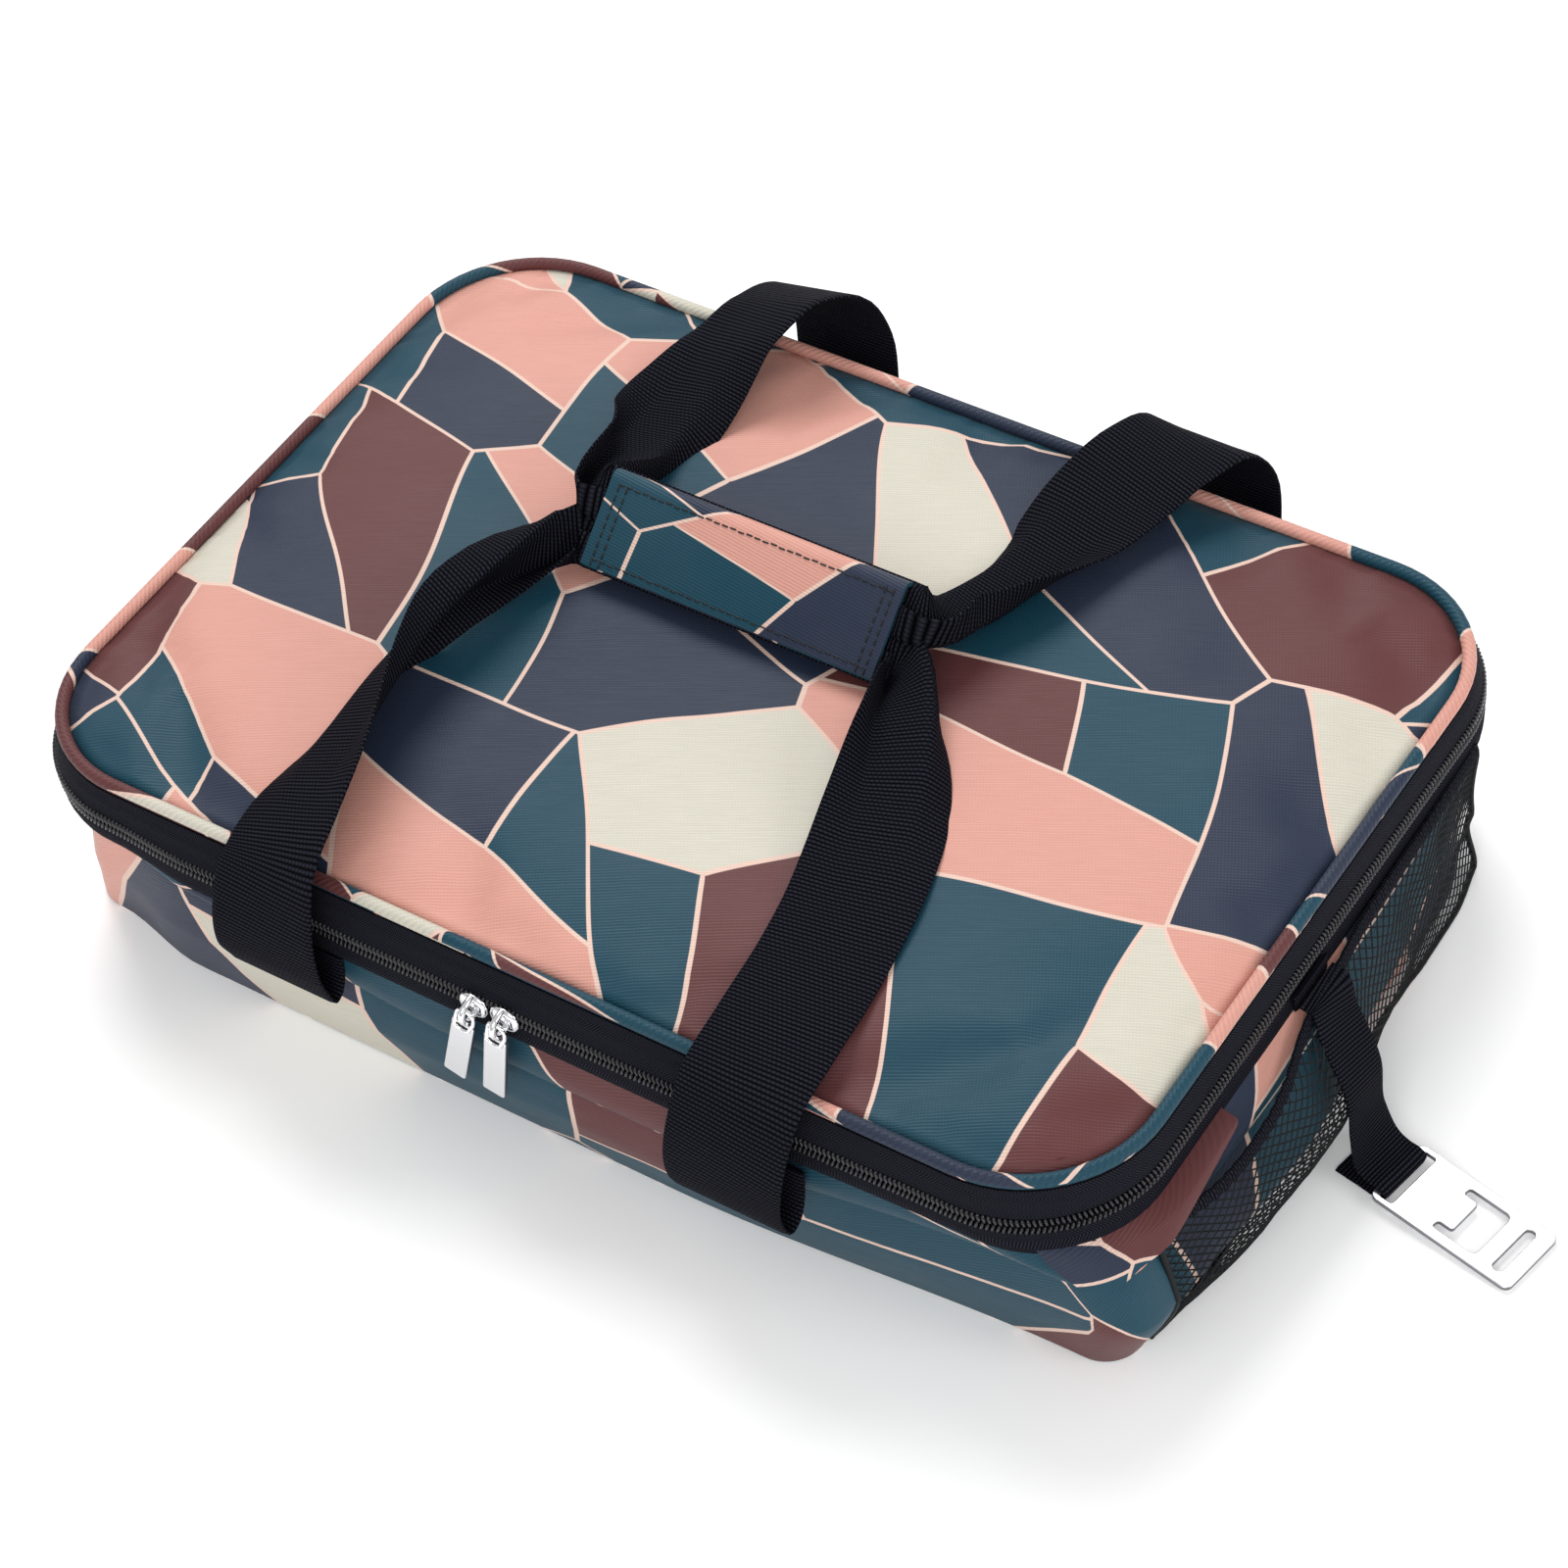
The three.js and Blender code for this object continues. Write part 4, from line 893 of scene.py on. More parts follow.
@dataclass(frozen=True)
class BoxShape:
    """Heights and outlines that the box's own pieces share, in mm."""

    lid: Outline = Outline(220.0, 150.0, 50.0, 50.0, 50.0)
    rim: Outline = Outline(220.0, 151.0, 48.0, 48.0, 48.0, 0.0, 2.8)
    crease: Outline = Outline(216.0, 146.0, 20.0, 26.0, 56.0, 10.0, 8.0)
    belly: Outline = Outline(219.5, 143.0, 16.0, 18.0, 60.0, 10.5, 10.0)
    base: Outline = Outline(217.0, 138.0, 14.0, 14.0, 56.0, 5.0, 8.5)
    panel_top: float = 2.4
    floor_top: float = 15.0
    belly_z: float = 24.0
    crease_z: float = 44.0
    tape_low: float = 62.5
    rim_z: float = 67.5
    tape_high: float = 69.7
    parting: float = 73.5
    upper_tape_low: float = 77.3
    upper_tape_high: float = 87.2
    piping_z: float = 90.0
    piping_radius: float = 2.5
    crown_z: float = 95.0
    wall: float = 5.0

    def body(self, z: float) -> Outline:
        """Return the body's outer outline at a height."""
        stops = [(0.0, self.base), (self.belly_z, self.belly), (self.crease_z, self.crease),
                 (self.rim_z, self.rim)]
        for (low_z, low), (high_z, high) in zip(stops, stops[1:]):
            if z < high_z:
                return low.toward(high, max(0.0, (z - low_z) / (high_z - low_z)))
        return self.rim

    def sag(self, y: Points, z: Points, sign: Points) -> Points:
        """Measure how far a side wall bulges past its outline.

        Args:
            y: Places along the side.
            z: Heights.
            sign: 1 on the right, -1 on the left.

        Returns:
            Distances in mm.
        """
        right = 9.6 * hill(y, -40, np.where(y < -40, 80.0, 45.0)) - 9.0 * smooth((y - 10) / 90)
        left = 2.0 * hill(y, 0, 80) - 3.5 * hill(y, -138, 30)
        return np.where(sign > 0, right, left) * smooth(z / 20) * smooth((64 - z) / 40)

    def level(self, z: float, out: float = 0.0, path: Callable[[Outline], Points] = Outline.ring) -> Points:
        """Return points round the body at a height, moved outward."""
        outline = self.body(z).offset(out)
        flat = path(outline)
        aside = flat[:, 0] - outline.shift
        near = smooth((np.abs(aside) - outline.half_length + 30) / 30)
        flat[:, 0] += np.sign(aside) * self.sag(flat[:, 1], np.full(len(flat), z), aside) * near
        return np.column_stack([flat, np.full(len(flat), z)])

    @staticmethod
    def fold_rise(x: Points, y: Points) -> Points:
        """Measure how much higher the fold line under the wall band lies than in the middle of the front."""
        front = 14 * smooth((-20 - x) / 130) + 9 * smooth((x - 60) / 130)
        return front + (12.5 - x / 150 - front) * smooth((y + 140) / 60)

    def risen(self, points: Points, foot: float = 0.0) -> Points:
        """Lift points of the walls with the fold line, less and less towards their foot and the rim."""
        x, y, z = points[..., 0], points[..., 1], points[..., 2]
        below = (z - foot) / (self.crease_z - foot)
        above = (self.rim_z - z) / (self.rim_z - self.crease_z)
        share = np.minimum(below, above).clip(0, 1)
        return np.stack([x, y, z + self.fold_rise(x, y) * share], axis=-1)

    def side_wall(self, y: Points, z: Points, sign: int) -> Points:
        """Find how far out a side wall stands at places along it and heights, after the lift."""
        heights = np.linspace(0, self.rim_z, 40)
        outlines = [self.body(height) for height in heights]
        reach = np.array([outline.half_length + sign * outline.shift for outline in outlines])
        rise = self.fold_rise(np.full(z.shape, 220.0 * sign), y * sign)
        fold = self.crease_z + rise
        above = self.crease_z + (z - fold) * (self.rim_z - self.crease_z) / (self.rim_z - fold)
        flat_z = np.where(z < fold, z * self.crease_z / fold, above)
        return np.interp(flat_z, heights, reach) + self.sag(y * sign, flat_z, np.full(z.shape, sign))

    def run_lengths(self, path: Callable[[Outline], Points] = Outline.ring, closed: bool = True) -> Points:
        """Return how far along the rim each point lies, in metres."""
        return travelled(path(self.rim), closed) * MM


BOX = BoxShape()


def outward(points: Points, closed: bool) -> Points:
    """Find the level outward direction at each point of a path that runs as the outlines do."""
    if closed:
        along = np.roll(points, -1, axis=0) - np.roll(points, 1, axis=0)
    else:
        along = np.gradient(points, axis=0)
    side = np.column_stack([-along[:, 1], along[:, 0], np.zeros(len(points))])
    return -unit(side)


# Walls and floor

@dataclass
class Walls:
    """The printed walls, the tucked-in fold behind them, the floor and the underside."""

    shape: BoxShape = BOX
    swell: float = 0.8
    wrinkle: float = 1.5
    cloth: float = 1.2
    fold_out: float = 5.8
    fold_depth: float = 5.0
    folds: int = 3
    print_stretch: float = 4.4
    tucked_print: float = 0.2
    flap_span: tuple[int, int] = (132, 149)
    flap_print: float = 0.27

    PANEL_RINGS = (0.06, 0.14, 0.24, 0.36)

    def build(self) -> list[bpy.types.Object]:
        """Build every piece of the walls and floor."""
        return [
            self.lower_wall(),
            self.rim_wall(),
            self.rim_binding(),
            self.corner_flap(),
            *self.tucked_walls(),
            self.underside(),
            self.floor_pad(),
        ]

    def _wall(self, profile: Sequence[tuple[float, float]], seed: float, keep: Callable[[float], float],
              name: str, finish: Finish) -> bpy.types.Object:
        """Loft a wall round the box.

        Args:
            profile: Height and outward shift of each level, from the outer bottom up and down the inside.
            seed: Offset of the wrinkles.
            keep: How much of the wrinkles a height takes.
            name: The piece's name.
            finish: Its finish.

        Returns:
            The wall.
        """
        levels = []
        for z, out in profile:
            level = self.shape.level(z, out)
            away = outward(level, True)
            stretched = level * np.array([1.0, 1.0, 1.6])
            soft = ripple(stretched, 46.0, seed) * 0.7 + ripple(stretched, 19.0, seed + 5) * 0.3
            levels.append(level + away * (soft * self.wrinkle * keep(z))[:, None])
        points = self.shape.risen(np.stack(levels, axis=1))
        down = (profile[0][0] + travelled(np.array(profile), closed=True)) * MM
        draft = Draft()
        draft.grid(points, crossed(self.shape.run_lengths(), down), (True, True))
        return draft.build(name, finish)

    def lower_wall(self) -> bpy.types.Object:
        """The wall from the underside to the fold line, swelling a little, rolled in at the top."""
        low, high = 0.6, self.shape.crease_z - 0.4
        thick = self.shape.wall
        outer = [(low + (high - low) * s, self.swell * math.sin(math.pi * s) * 1.15 - 1.6 * s ** 8)
                 for s in np.linspace(0, 1, 12)]
        inner = [(high - 1.2, -3.4), (high - 9, -thick), (low + 2, -thick), (low, -2.0)]
        keep = lambda z: math.sin(math.pi * min(1.0, max(0.0, (z - low) / (high - low)))) ** 0.7
        piece = self._wall([*outer, *inner], 3.1, keep, "lower_wall_fabric", Finish.PRINT_WALL)
        dress(piece, "base", "printed_fabric", "lower_wall")
        return piece

    def rim_wall(self) -> bpy.types.Object:
        """The wall band under the zip, hanging over the fold line with a rolled lower edge."""
        low, high = self.shape.crease_z - 0.6, self.shape.rim_z
        thick, roll = self.shape.wall, 1.4
        outer = [(low + roll + (high - low - roll) * s, 1.9 * math.sin(math.pi * min(1.0, s * 1.25 + 0.12)))
                 for s in np.linspace(0, 1, 9)]
        inner = [(high, -thick), (low + 5, -thick), (low + 0.6, -3.2), (low, -1.2), (low + 0.3, 0.2)]
        keep = lambda z: math.sin(math.pi * min(1.0, max(0.0, (high - 6 - z) / (high - 6 - low)))) ** 0.8 * 0.7
        piece = self._wall([*outer, *inner], 8.4, keep, "rim_wall_fabric", Finish.PRINT_WALL)
        dress(piece, "rim", "printed_fabric", "rim_wall")
        return piece

    def corner_flap(self) -> bpy.types.Object:
        """The side's wall band where it laps over the front's at the right front corner."""
        first, last = self.flap_span
        share = np.linspace(0, 1, last - first)
        foot = 42.0 + 17.0 * share ** 1.4
        stand = 2.2 + 4.6 * smooth((share - 0.42) / 0.25)
        head, thick = self.shape.tape_low + 1.0, 1.1
        outer, inner, heights = [], [], []
        for drop in np.linspace(0, 1, 8):
            zs = head - (head - foot) * drop
            out = stand * smooth(drop * 3.0 + 0.1) + 0.9 * math.sin(math.pi * drop) + 0.7 * drop
            for side, shift in ((outer, 0.0), (inner, thick)):
                places = zip(zs, out - shift, range(first, last))
                side.append(np.array([self.shape.level(z, away)[index] for z, away, index in places]))
            heights.append(zs)
        points = self.shape.risen(np.stack([*outer, *inner[::-1]], axis=1))
        tall = np.stack([*heights, *[zs + 30 for zs in heights[::-1]], heights[0]], axis=1) * MM
        along = self.shape.run_lengths()[first:last, None] + self.flap_print
        flat = np.stack([np.repeat(along, tall.shape[1], axis=1), tall], axis=-1)
        draft = Draft()
        draft.bar(points, flat)
        return dress(draft.build("corner_flap_fabric", Finish.PRINT_WALL), "rim", "printed_fabric")

    def rim_binding(self) -> bpy.types.Object:
        """The rounded black edge on top of the wall band."""
        middle = (self.shape.rim_z + self.shape.tape_high) / 2 + 0.1
        angles = np.linspace(0, TURN, 10, endpoint=False)
        half = self.shape.wall / 2
        profile = [(middle + 1.0 * math.sin(a), -half + half * math.cos(a)) for a in angles]
        piece = self._wall(profile, 0.0, lambda z: 0.0, "rim_edge_binding", Finish.TAPE)
        return dress(piece, "rim", "black_tape", "rim_binding")

    def tucked_walls(self) -> list[bpy.types.Object]:
        """The bellows of wall fabric and liner that unfold between the two printed walls."""
        made = []
        low, high = self.shape.floor_top - 0.7, self.shape.rim_z - 0.3
        steps = 8 * self.folds
        for name, start, thick, finish, slot, node in (
            ("tucked_wall_fabric", self.fold_out, 1.5, Finish.PRINT_WALL, "printed_fabric", "fold_insulation"),
            ("tucked_wall_liner", self.fold_out + 3.8, 0.8, Finish.LINER, "silver_liner", "fold_liner"),
        ):
            profile = []
            for step in range(steps + 1):
                turn = step / steps
                inward = self.fold_depth * 0.5 * (1 - math.cos(TURN * self.folds * turn))
                profile.append((low + (high - low) * turn, -start - inward))
            inside = [(z, out - thick) for z, out in reversed(profile)]
            stretch = [((z - low) * self.print_stretch + low, out) for z, out in [*profile, *inside]]
            levels = [self.shape.level(z, out) for z, out in [*profile, *inside]]
            points = self.shape.risen(np.stack(levels, axis=1), low)
            down = np.array([z for z, _ in stretch] + [stretch[0][0]]) * MM
            draft = Draft()
            draft.grid(points, crossed(self.shape.run_lengths() + self.tucked_print, down), (True, True))
            piece = draft.build(name, finish)
            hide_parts(node)
            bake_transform(piece)
            made.append(piece)
        return made

    def _slab(self, name: str, low: float, high: float, inset: float, edge: float, finish: Finish,
              quilt: float = 0.0) -> bpy.types.Object:
        """Make a flat panel with a rounded rim.

        Args:
            name: The piece's name.
            low: Its lowest height in mm.
            high: Its highest.
            inset: How far inside the base outline it stays.
            edge: The radius of its rim.
            finish: Its finish.
            quilt: How much its top swells.

        Returns:
            The panel.
        """
        outline = self.shape.base.offset(-inset)
        rings, height = [], []
        for angle in np.linspace(-90, 90, 7):
            turn = math.radians(angle)
            rings.append(outline.offset(-edge * (1 - math.cos(turn))))
            height.append((low + high) / 2 + (high - low) / 2 * math.sin(turn))
        for share in self.PANEL_RINGS:
            rings.append(outline.offset(-edge - (outline.half_width - edge - 4) * share))
            height.append(high + quilt * smooth(share * 2.4))
        levels = [(ring.ring(), z) for ring, z in zip(rings, height)]
        points = np.stack([np.column_stack([flat, np.full(len(flat), z)]) for flat, z in levels], axis=1)
        draft = Draft()
        flat = np.concatenate([points, points[:1]])[:, :, :2] * MM
        first = draft.grid(points, flat, (True, False))
        rows, count = points.shape[:2]
        for column in (0, count - 1):
            draft.face([first + i * count + column for i in range(rows)], points[:, column, :2] * MM)
        return draft.build(name, finish)

    def underside(self) -> bpy.types.Object:
        """The printed panel that the box stands on."""
        piece = self._slab("base_panel_fabric", 0.0, self.shape.panel_top, 0.6, 1.2, Finish.PRINT_WALL)
        return dress(piece, "base", "printed_fabric", "base_panel")

    def floor_pad(self) -> bpy.types.Object:
        """The foam floor in its silver cover."""
        piece = self._slab("floor_pad", 5.6, self.shape.floor_top - 0.9, 8.2, 4.0, Finish.LINER, quilt=0.8)
        dress(piece, "base", "silver_liner", "base_foam", "floor_liner")
        return piece


# Lid

@dataclass
class Lid:
    """The domed printed lid, its piping and its silver underside."""

    shape: BoxShape = BOX
    cell: float = 5.0
    crown_run: float = 62.0
    border: float = 4.6
    settle: float = 3.2
    dent: float = 2.2

    CLOTH_FRAMES = 20
    CLOTH = {
        "vertex_group_mass": "border", "quality": 6, "mass": 0.25, "tension_stiffness": 30,
        "compression_stiffness": 30, "shear_stiffness": 12, "bending_stiffness": 3, "shrink_min": -0.012,
        "use_pressure": True, "uniform_pressure_force": 0.35,
    }

    def build(self) -> list[bpy.types.Object]:
        """Build the cover, the piping and the liner."""
        return [self.cover(), self.piping(), self.liner()]

    def _patch(self, outline: Outline) -> Points:
        """Fill a rounded rectangle with a grid.

        Args:
            outline: The border.

        Returns:
            Rows along x and columns along y of x and y.
        """
        columns = int(2 * outline.half_length / self.cell)
        rows = int(2 * outline.half_width / self.cell)
        x, y = np.meshgrid(np.linspace(-1, 1, columns + 1), np.linspace(-1, 1, rows + 1), indexing="ij")
        run = outline.half_length - outline.corner
        depth = outline.half_width - outline.corner
        px, py = x * outline.half_length, y * outline.half_width
        beyond_x, beyond_y = np.maximum(np.abs(px) - run, 0), np.maximum(np.abs(py) - depth, 0)
        reach = np.maximum(beyond_x, beyond_y)
        far = np.hypot(beyond_x, beyond_y)
        pull = np.where(far > 1e-6, reach / np.maximum(far, 1e-6), 1.0)
        in_corner = (beyond_x > 0) & (beyond_y > 0)
        px = np.where(in_corner, np.sign(px) * (run + beyond_x * pull), px)
        py = np.where(in_corner, np.sign(py) * (depth + beyond_y * pull), py)
        return np.stack([px, py], axis=-1)

    def _edge_distance(self, outline: Outline, places: Points) -> Points:
        """Measure how far inside the outline each place lies."""
        over_x = np.abs(places[..., 0]) - (outline.half_length - outline.corner)
        over_y = np.abs(places[..., 1]) - (outline.half_width - outline.corner)
        outside = np.hypot(np.maximum(over_x, 0), np.maximum(over_y, 0))
        inside = np.minimum(np.maximum(over_x, over_y), 0)
        return outline.corner - outside - inside

    def cover(self) -> bpy.types.Object:
        """The printed cover, crowned over its foam and settled as cloth."""
        outline = self.shape.lid.offset(-self.border)
        places = self._patch(outline)
        inside = self._edge_distance(outline, places)
        rise = smooth(inside / self.crown_run) ** 0.62
        low = self.shape.piping_z - 0.8
        high = self.shape.crown_z - 0.4
        z = low + (high - low) * rise
        points = np.concatenate([places, z[..., None]], axis=-1)
        hollow = ripple(points, 88.0, 1.7) * 0.65 + ripple(points * np.array([1, 1.7, 1]), 40.0, 7.7) * 0.35
        points[..., 2] += hollow * self.dent * smooth(inside / 40.0)
        draft = Draft()
        draft.grid(points, places * MM)
        piece = draft.build("lid_cover_fabric", Finish.PRINT, sharp=80)
        self._settle(piece, inside.reshape(-1))
        thicken(piece, 1.1)
        dress(piece, "lid", "printed_fabric", "lid_cover", "lid_foam")
        return piece

    def _settle(self, piece: bpy.types.Object, inside: Points) -> None:
        """Let the cover settle as cloth pinned at its border, and cap how far it moves.

        Args:
            piece: The cover.
            inside: How far inside the border each vertex lies, in mm.
        """
        rest = np.array([vertex.co[:] for vertex in piece.data.vertices])
        pins = piece.vertex_groups.new(name="border")
        for index in np.flatnonzero(inside < 1.0):
            pins.add([int(index)], 1.0, "REPLACE")
        cloth = piece.modifiers.new("cloth", "CLOTH")
        for key, value in self.CLOTH.items():
            setattr(cloth.settings, key, value)
        cloth.settings.effector_weights.gravity = 0.0
        scene = bpy.context.scene
        for step in range(1, self.CLOTH_FRAMES + 1):
            scene.frame_set(step)
        graph = bpy.context.evaluated_depsgraph_get()
        settled = np.array([vertex.co[:] for vertex in piece.evaluated_get(graph).data.vertices])
        piece.modifiers.clear()
        piece.vertex_groups.clear()
        scene.frame_set(1)
        shift = settled - rest
        length = np.linalg.norm(shift, axis=1, keepdims=True)
        limit = self.settle * MM
        shift *= np.minimum(1.0, limit / np.maximum(length, 1e-9))
        piece.data.vertices.foreach_set("co", (rest + shift).astype(np.float32).reshape(-1))
        piece.data.update()
        log.info("lid cover settled by up to %.1f mm", float(length.max()) / MM)

    def piping(self) -> bpy.types.Object:
        """The covered cord that edges the lid."""
        radius, count = self.shape.piping_radius, 12
        levels = []
        for side in range(count):
            angle = TURN * side / count
            ring = self.shape.lid.offset(radius * (math.cos(angle) - 1)).ring()
            height = np.full(len(ring), self.shape.piping_z + radius * math.sin(angle))
            levels.append(np.column_stack([ring, height]))
        points = np.stack(levels, axis=1)
        girth = np.arange(count + 1) * TURN * radius / count * MM
        draft = Draft()
        draft.grid(points, crossed(self.shape.run_lengths(), girth), (True, True))
        piece = draft.build("lid_edge_piping", Finish.PIPING)
        return dress(piece, "lid", "piping", "lid_piping")

    def liner(self) -> bpy.types.Object:
        """The silver underside of the lid, quilted and turned up at its border."""
        outline = self.shape.lid.offset(-0.6)
        places = self._patch(outline)
        inside = self._edge_distance(outline, places)
        z = self.shape.parting + 3.2 - 2.6 * smooth(inside / 6.0)
        points = np.concatenate([places, z[..., None]], axis=-1)
        draft = Draft()
        draft.grid(points, places * MM, flip=True)
        piece = draft.build("lid_liner_film", Finish.LINER, sharp=80)
        thicken(piece, 0.7)
        dress(piece, "lid", "silver_liner", "lid_liner")
        return piece


# Zip

@dataclass
class Zip:
    """Both tapes, both rows of teeth, the end tabs and the hinge strip."""

    shape: BoxShape = BOX
    gap: float = 0.3
    tape: float = 0.9
    tooth_pitch: float = 1.75
    tooth_depth: float = 2.8
    tooth_high: float = 3.5
    tooth_lean: float = 0.9
    lower_row: float = 70.0
    upper_row: float = 73.9
    tab_half: float = 4.9
    tab_middle: float = 4.5

    TOOTH_RING = ((-0.5, 0.0), (-0.34, 0.42), (0.0, 0.58), (0.34, 0.42), (0.5, 0.0), (0.34, -0.42),
                  (-0.34, -0.42))
    TOOTH_LEVELS = ((0.02, 0.35), (0.14, 0.82), (0.38, 1.0), (0.62, 1.0), (0.86, 0.82), (0.98, 0.35))
    TAB_RING = ((58.6, 0.9), (59.4, 1.9), (63.5, 2.2), (67.6, 1.9), (69.4, 0.8), (69.4, 0.3), (58.6, 0.3))
    TAB_LEVELS = ((-1.0, 0.55), (-0.86, 1.0), (0.0, 1.08), (0.86, 1.0), (1.0, 0.55))
    HINGE_FACE = ((57.5, 0.6), (60, 1.5), (66, 1.4), (69, 1.1), (72, 1.5), (75, 2.3), (79, 3.1), (83, 3.0),
                  (86, 1.7), (88, -0.4))

    def build(self) -> list[bpy.types.Object]:
        """Build every piece of the zip."""
        return [
            self.lower_tape(),
            self.upper_tape(),
            self.hinge_strip(),
            self.teeth("zip_teeth_lower", "zip_coil_lower", "rim", self.lower_row, 0.0),
            self.teeth("zip_teeth_upper", "zip_coil_upper", "lid", self.upper_row, 0.5),
            self.end_tab("left", -1),
            self.end_tab("right", 1),
        ]

    def _band(self, name: str, levels: list[Points], heights: Sequence[float]) -> bpy.types.Object:
        """Loft a band of tape along the zip path.

        Args:
            name: The piece's name.
            levels: Points of each level, round the band's section.
            heights: Flat height of each level in mm, and the first again.

        Returns:
            The band.
        """
        along = self.shape.run_lengths(Outline.zip_path, closed=False)
        draft = Draft()
        draft.bar(np.stack(levels, axis=1), crossed(along, np.array(heights) * MM))
        return draft.build(name, Finish.TAPE)

    def lower_tape(self) -> bpy.types.Object:
        """The tape sewn to the wall band."""
        zs = [self.shape.tape_low, self.shape.tape_low + 2.6, self.shape.rim_z, self.shape.tape_high]
        outer = [self.shape.level(z, self.gap + self.tape + bulge, Outline.zip_path)
                 for z, bulge in zip(zs, (0.5, 0.9, 0.4, -0.1))]
        inner = [self.shape.level(z, self.gap - 0.4, Outline.zip_path) for z in reversed(zs)]
        heights = [*zs, *[z + 20 for z in reversed(zs)], zs[0]]
        piece = self._band("zip_tape_lower_weave", [*outer, *inner], heights)
        return dress(piece, "rim", "black_tape", "zip_tape_lower")

    def _upper_level(self, share: float, out: float) -> Points:
        """Return points of the lid's black side at a share of its height."""
        low = self.shape.body(self.shape.rim_z)
        outline = low.toward(self.shape.lid.offset(-1.2), share).offset(out)
        z = self.shape.upper_tape_low + (self.shape.upper_tape_high + 0.4 - self.shape.upper_tape_low) * share
        flat = outline.zip_path()
        return np.column_stack([flat, np.full(len(flat), z)])

    def upper_tape(self) -> bpy.types.Object:
        """The black side of the lid, between the teeth and the piping."""
        shares = [0.0, 0.3, 0.65, 1.0]
        outer = [self._upper_level(s, self.gap + self.tape * (1 - 0.3 * s) + 0.5 * math.sin(math.pi * s))
                 for s in shares]
        inner = [self._upper_level(s, self.gap - 0.6) for s in reversed(shares)]
        zs = [self.shape.upper_tape_low + 10.3 * s for s in shares]
        heights = [*zs, *[z + 20 for z in reversed(zs)], zs[0]]
        piece = self._band("zip_tape_upper_weave", [*outer, *inner], heights)
        return dress(piece, "lid", "black_tape", "zip_tape_upper")

    def teeth(self, name: str, node: str, body: str, low: float, phase: float) -> bpy.types.Object:
        """A row of rounded teeth along the zip.

        Args:
            name: The piece's name.
            node: The node that it stands for.
            body: The body that it rides on.
            low: Height of the row's lower side in mm.
            phase: Shift along the row, as a share of the pitch.

        Returns:
            The row.
        """
        path = self.shape.level(low, 0.0, Outline.zip_path)
        away = outward(path, False)
        steps = travelled(path)
        places = np.arange(phase * self.tooth_pitch + 1, steps[-1] - 1, self.tooth_pitch)
        spots = read_off(places, steps, path)
        outs = unit(read_off(places, steps, away))
        alongs = np.column_stack([-outs[:, 1], outs[:, 0], outs[:, 2]])
        draft = Draft()
        toward = 1.0 if body == "rim" else -1.0
        for spot, out, along in zip(spots, outs, alongs):
            rows = []
            for height, grow in self.TOOTH_LEVELS:
                lean = (height - 0.5) * toward * self.tooth_lean
                centre = spot + out * (self.tooth_depth * 0.5 - 0.2) + along * lean
                centre = centre + np.array([0, 0, height * self.tooth_high])
                wide, deep = along * self.tooth_pitch * 0.80 * grow, out * self.tooth_depth * 0.8 * grow
                rows.append([centre + wide * u + deep * w for u, w in self.TOOTH_RING])
            draft.bar(np.array(rows))
        piece = draft.build(name, Finish.COIL, sharp=80)
        return dress(piece, body, "zip_coil", node)

    def end_tab(self, name: str, side: int) -> bpy.types.Object:
        """The folded tab sewn over an end of the zip."""
        x = side * (self.shape.lid.ZIP_END + self.tab_middle)
        y = self.shape.rim.half_width + self.gap + self.tape
        rows = []
        for share, grow in self.TAB_LEVELS:
            rows.append([(x + self.tab_half * share, y + 0.3 + (out - 0.3) * grow, z) for z, out in self.TAB_RING])
        flat = crossed(np.linspace(0, 0.01, len(rows)), np.linspace(0, 0.014, len(self.TAB_RING) + 1))
        draft = Draft()
        draft.bar(np.array(rows), flat)
        piece = draft.build(f"zip_end_tab_{name}", Finish.TAPE)
        return dress(piece, "rim", "black_tape", f"zip_stop_{name}")

    def hinge_strip(self) -> bpy.types.Object:
        """The printed strip along the back that the lid turns on."""
        end = self.shape.lid.ZIP_END - 0.4
        y = self.shape.rim.half_width + self.gap
        xs = np.linspace(-end, end, 60)
        outer = self.HINGE_FACE
        inner = [(z, out - 0.8) for z, out in reversed(outer)]
        rows = [[(x, y + out, z) for z, out in [*outer, *inner]] for x in xs]
        heights = [z for z, _ in outer] + [z + 30 for z, _ in inner] + [outer[0][0]]
        draft = Draft()
        draft.bar(np.array(rows), crossed(xs * MM, np.array(heights) * MM))
        piece = draft.build("lid_hinge_fabric", Finish.PRINT_WALL)
        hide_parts("lid_hinge_strip")
        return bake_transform(piece)


# Flat metal

@dataclass(frozen=True)
class RoundedBox:
    """A rectangle with rounded corners in a plate's own plane, in mm."""

    low: tuple[float, float]
    high: tuple[float, float]
    radius: float

    CORNER_STEPS = 8

    def points(self) -> list[tuple[float, float]]:
        """Return the corners' points, counter-clockwise."""
        (x0, y0), (x1, y1), r = self.low, self.high, self.radius
        centres = ((x1 - r, y1 - r, 0), (x0 + r, y1 - r, 90), (x0 + r, y0 + r, 180), (x1 - r, y0 + r, 270))
        made = []
        for cx, cy, start in centres:
            for step in range(self.CORNER_STEPS + 1):
                angle = math.radians(start + 90 * step / self.CORNER_STEPS)
                made.append((cx + r * math.cos(angle), cy + r * math.sin(angle)))
        return made


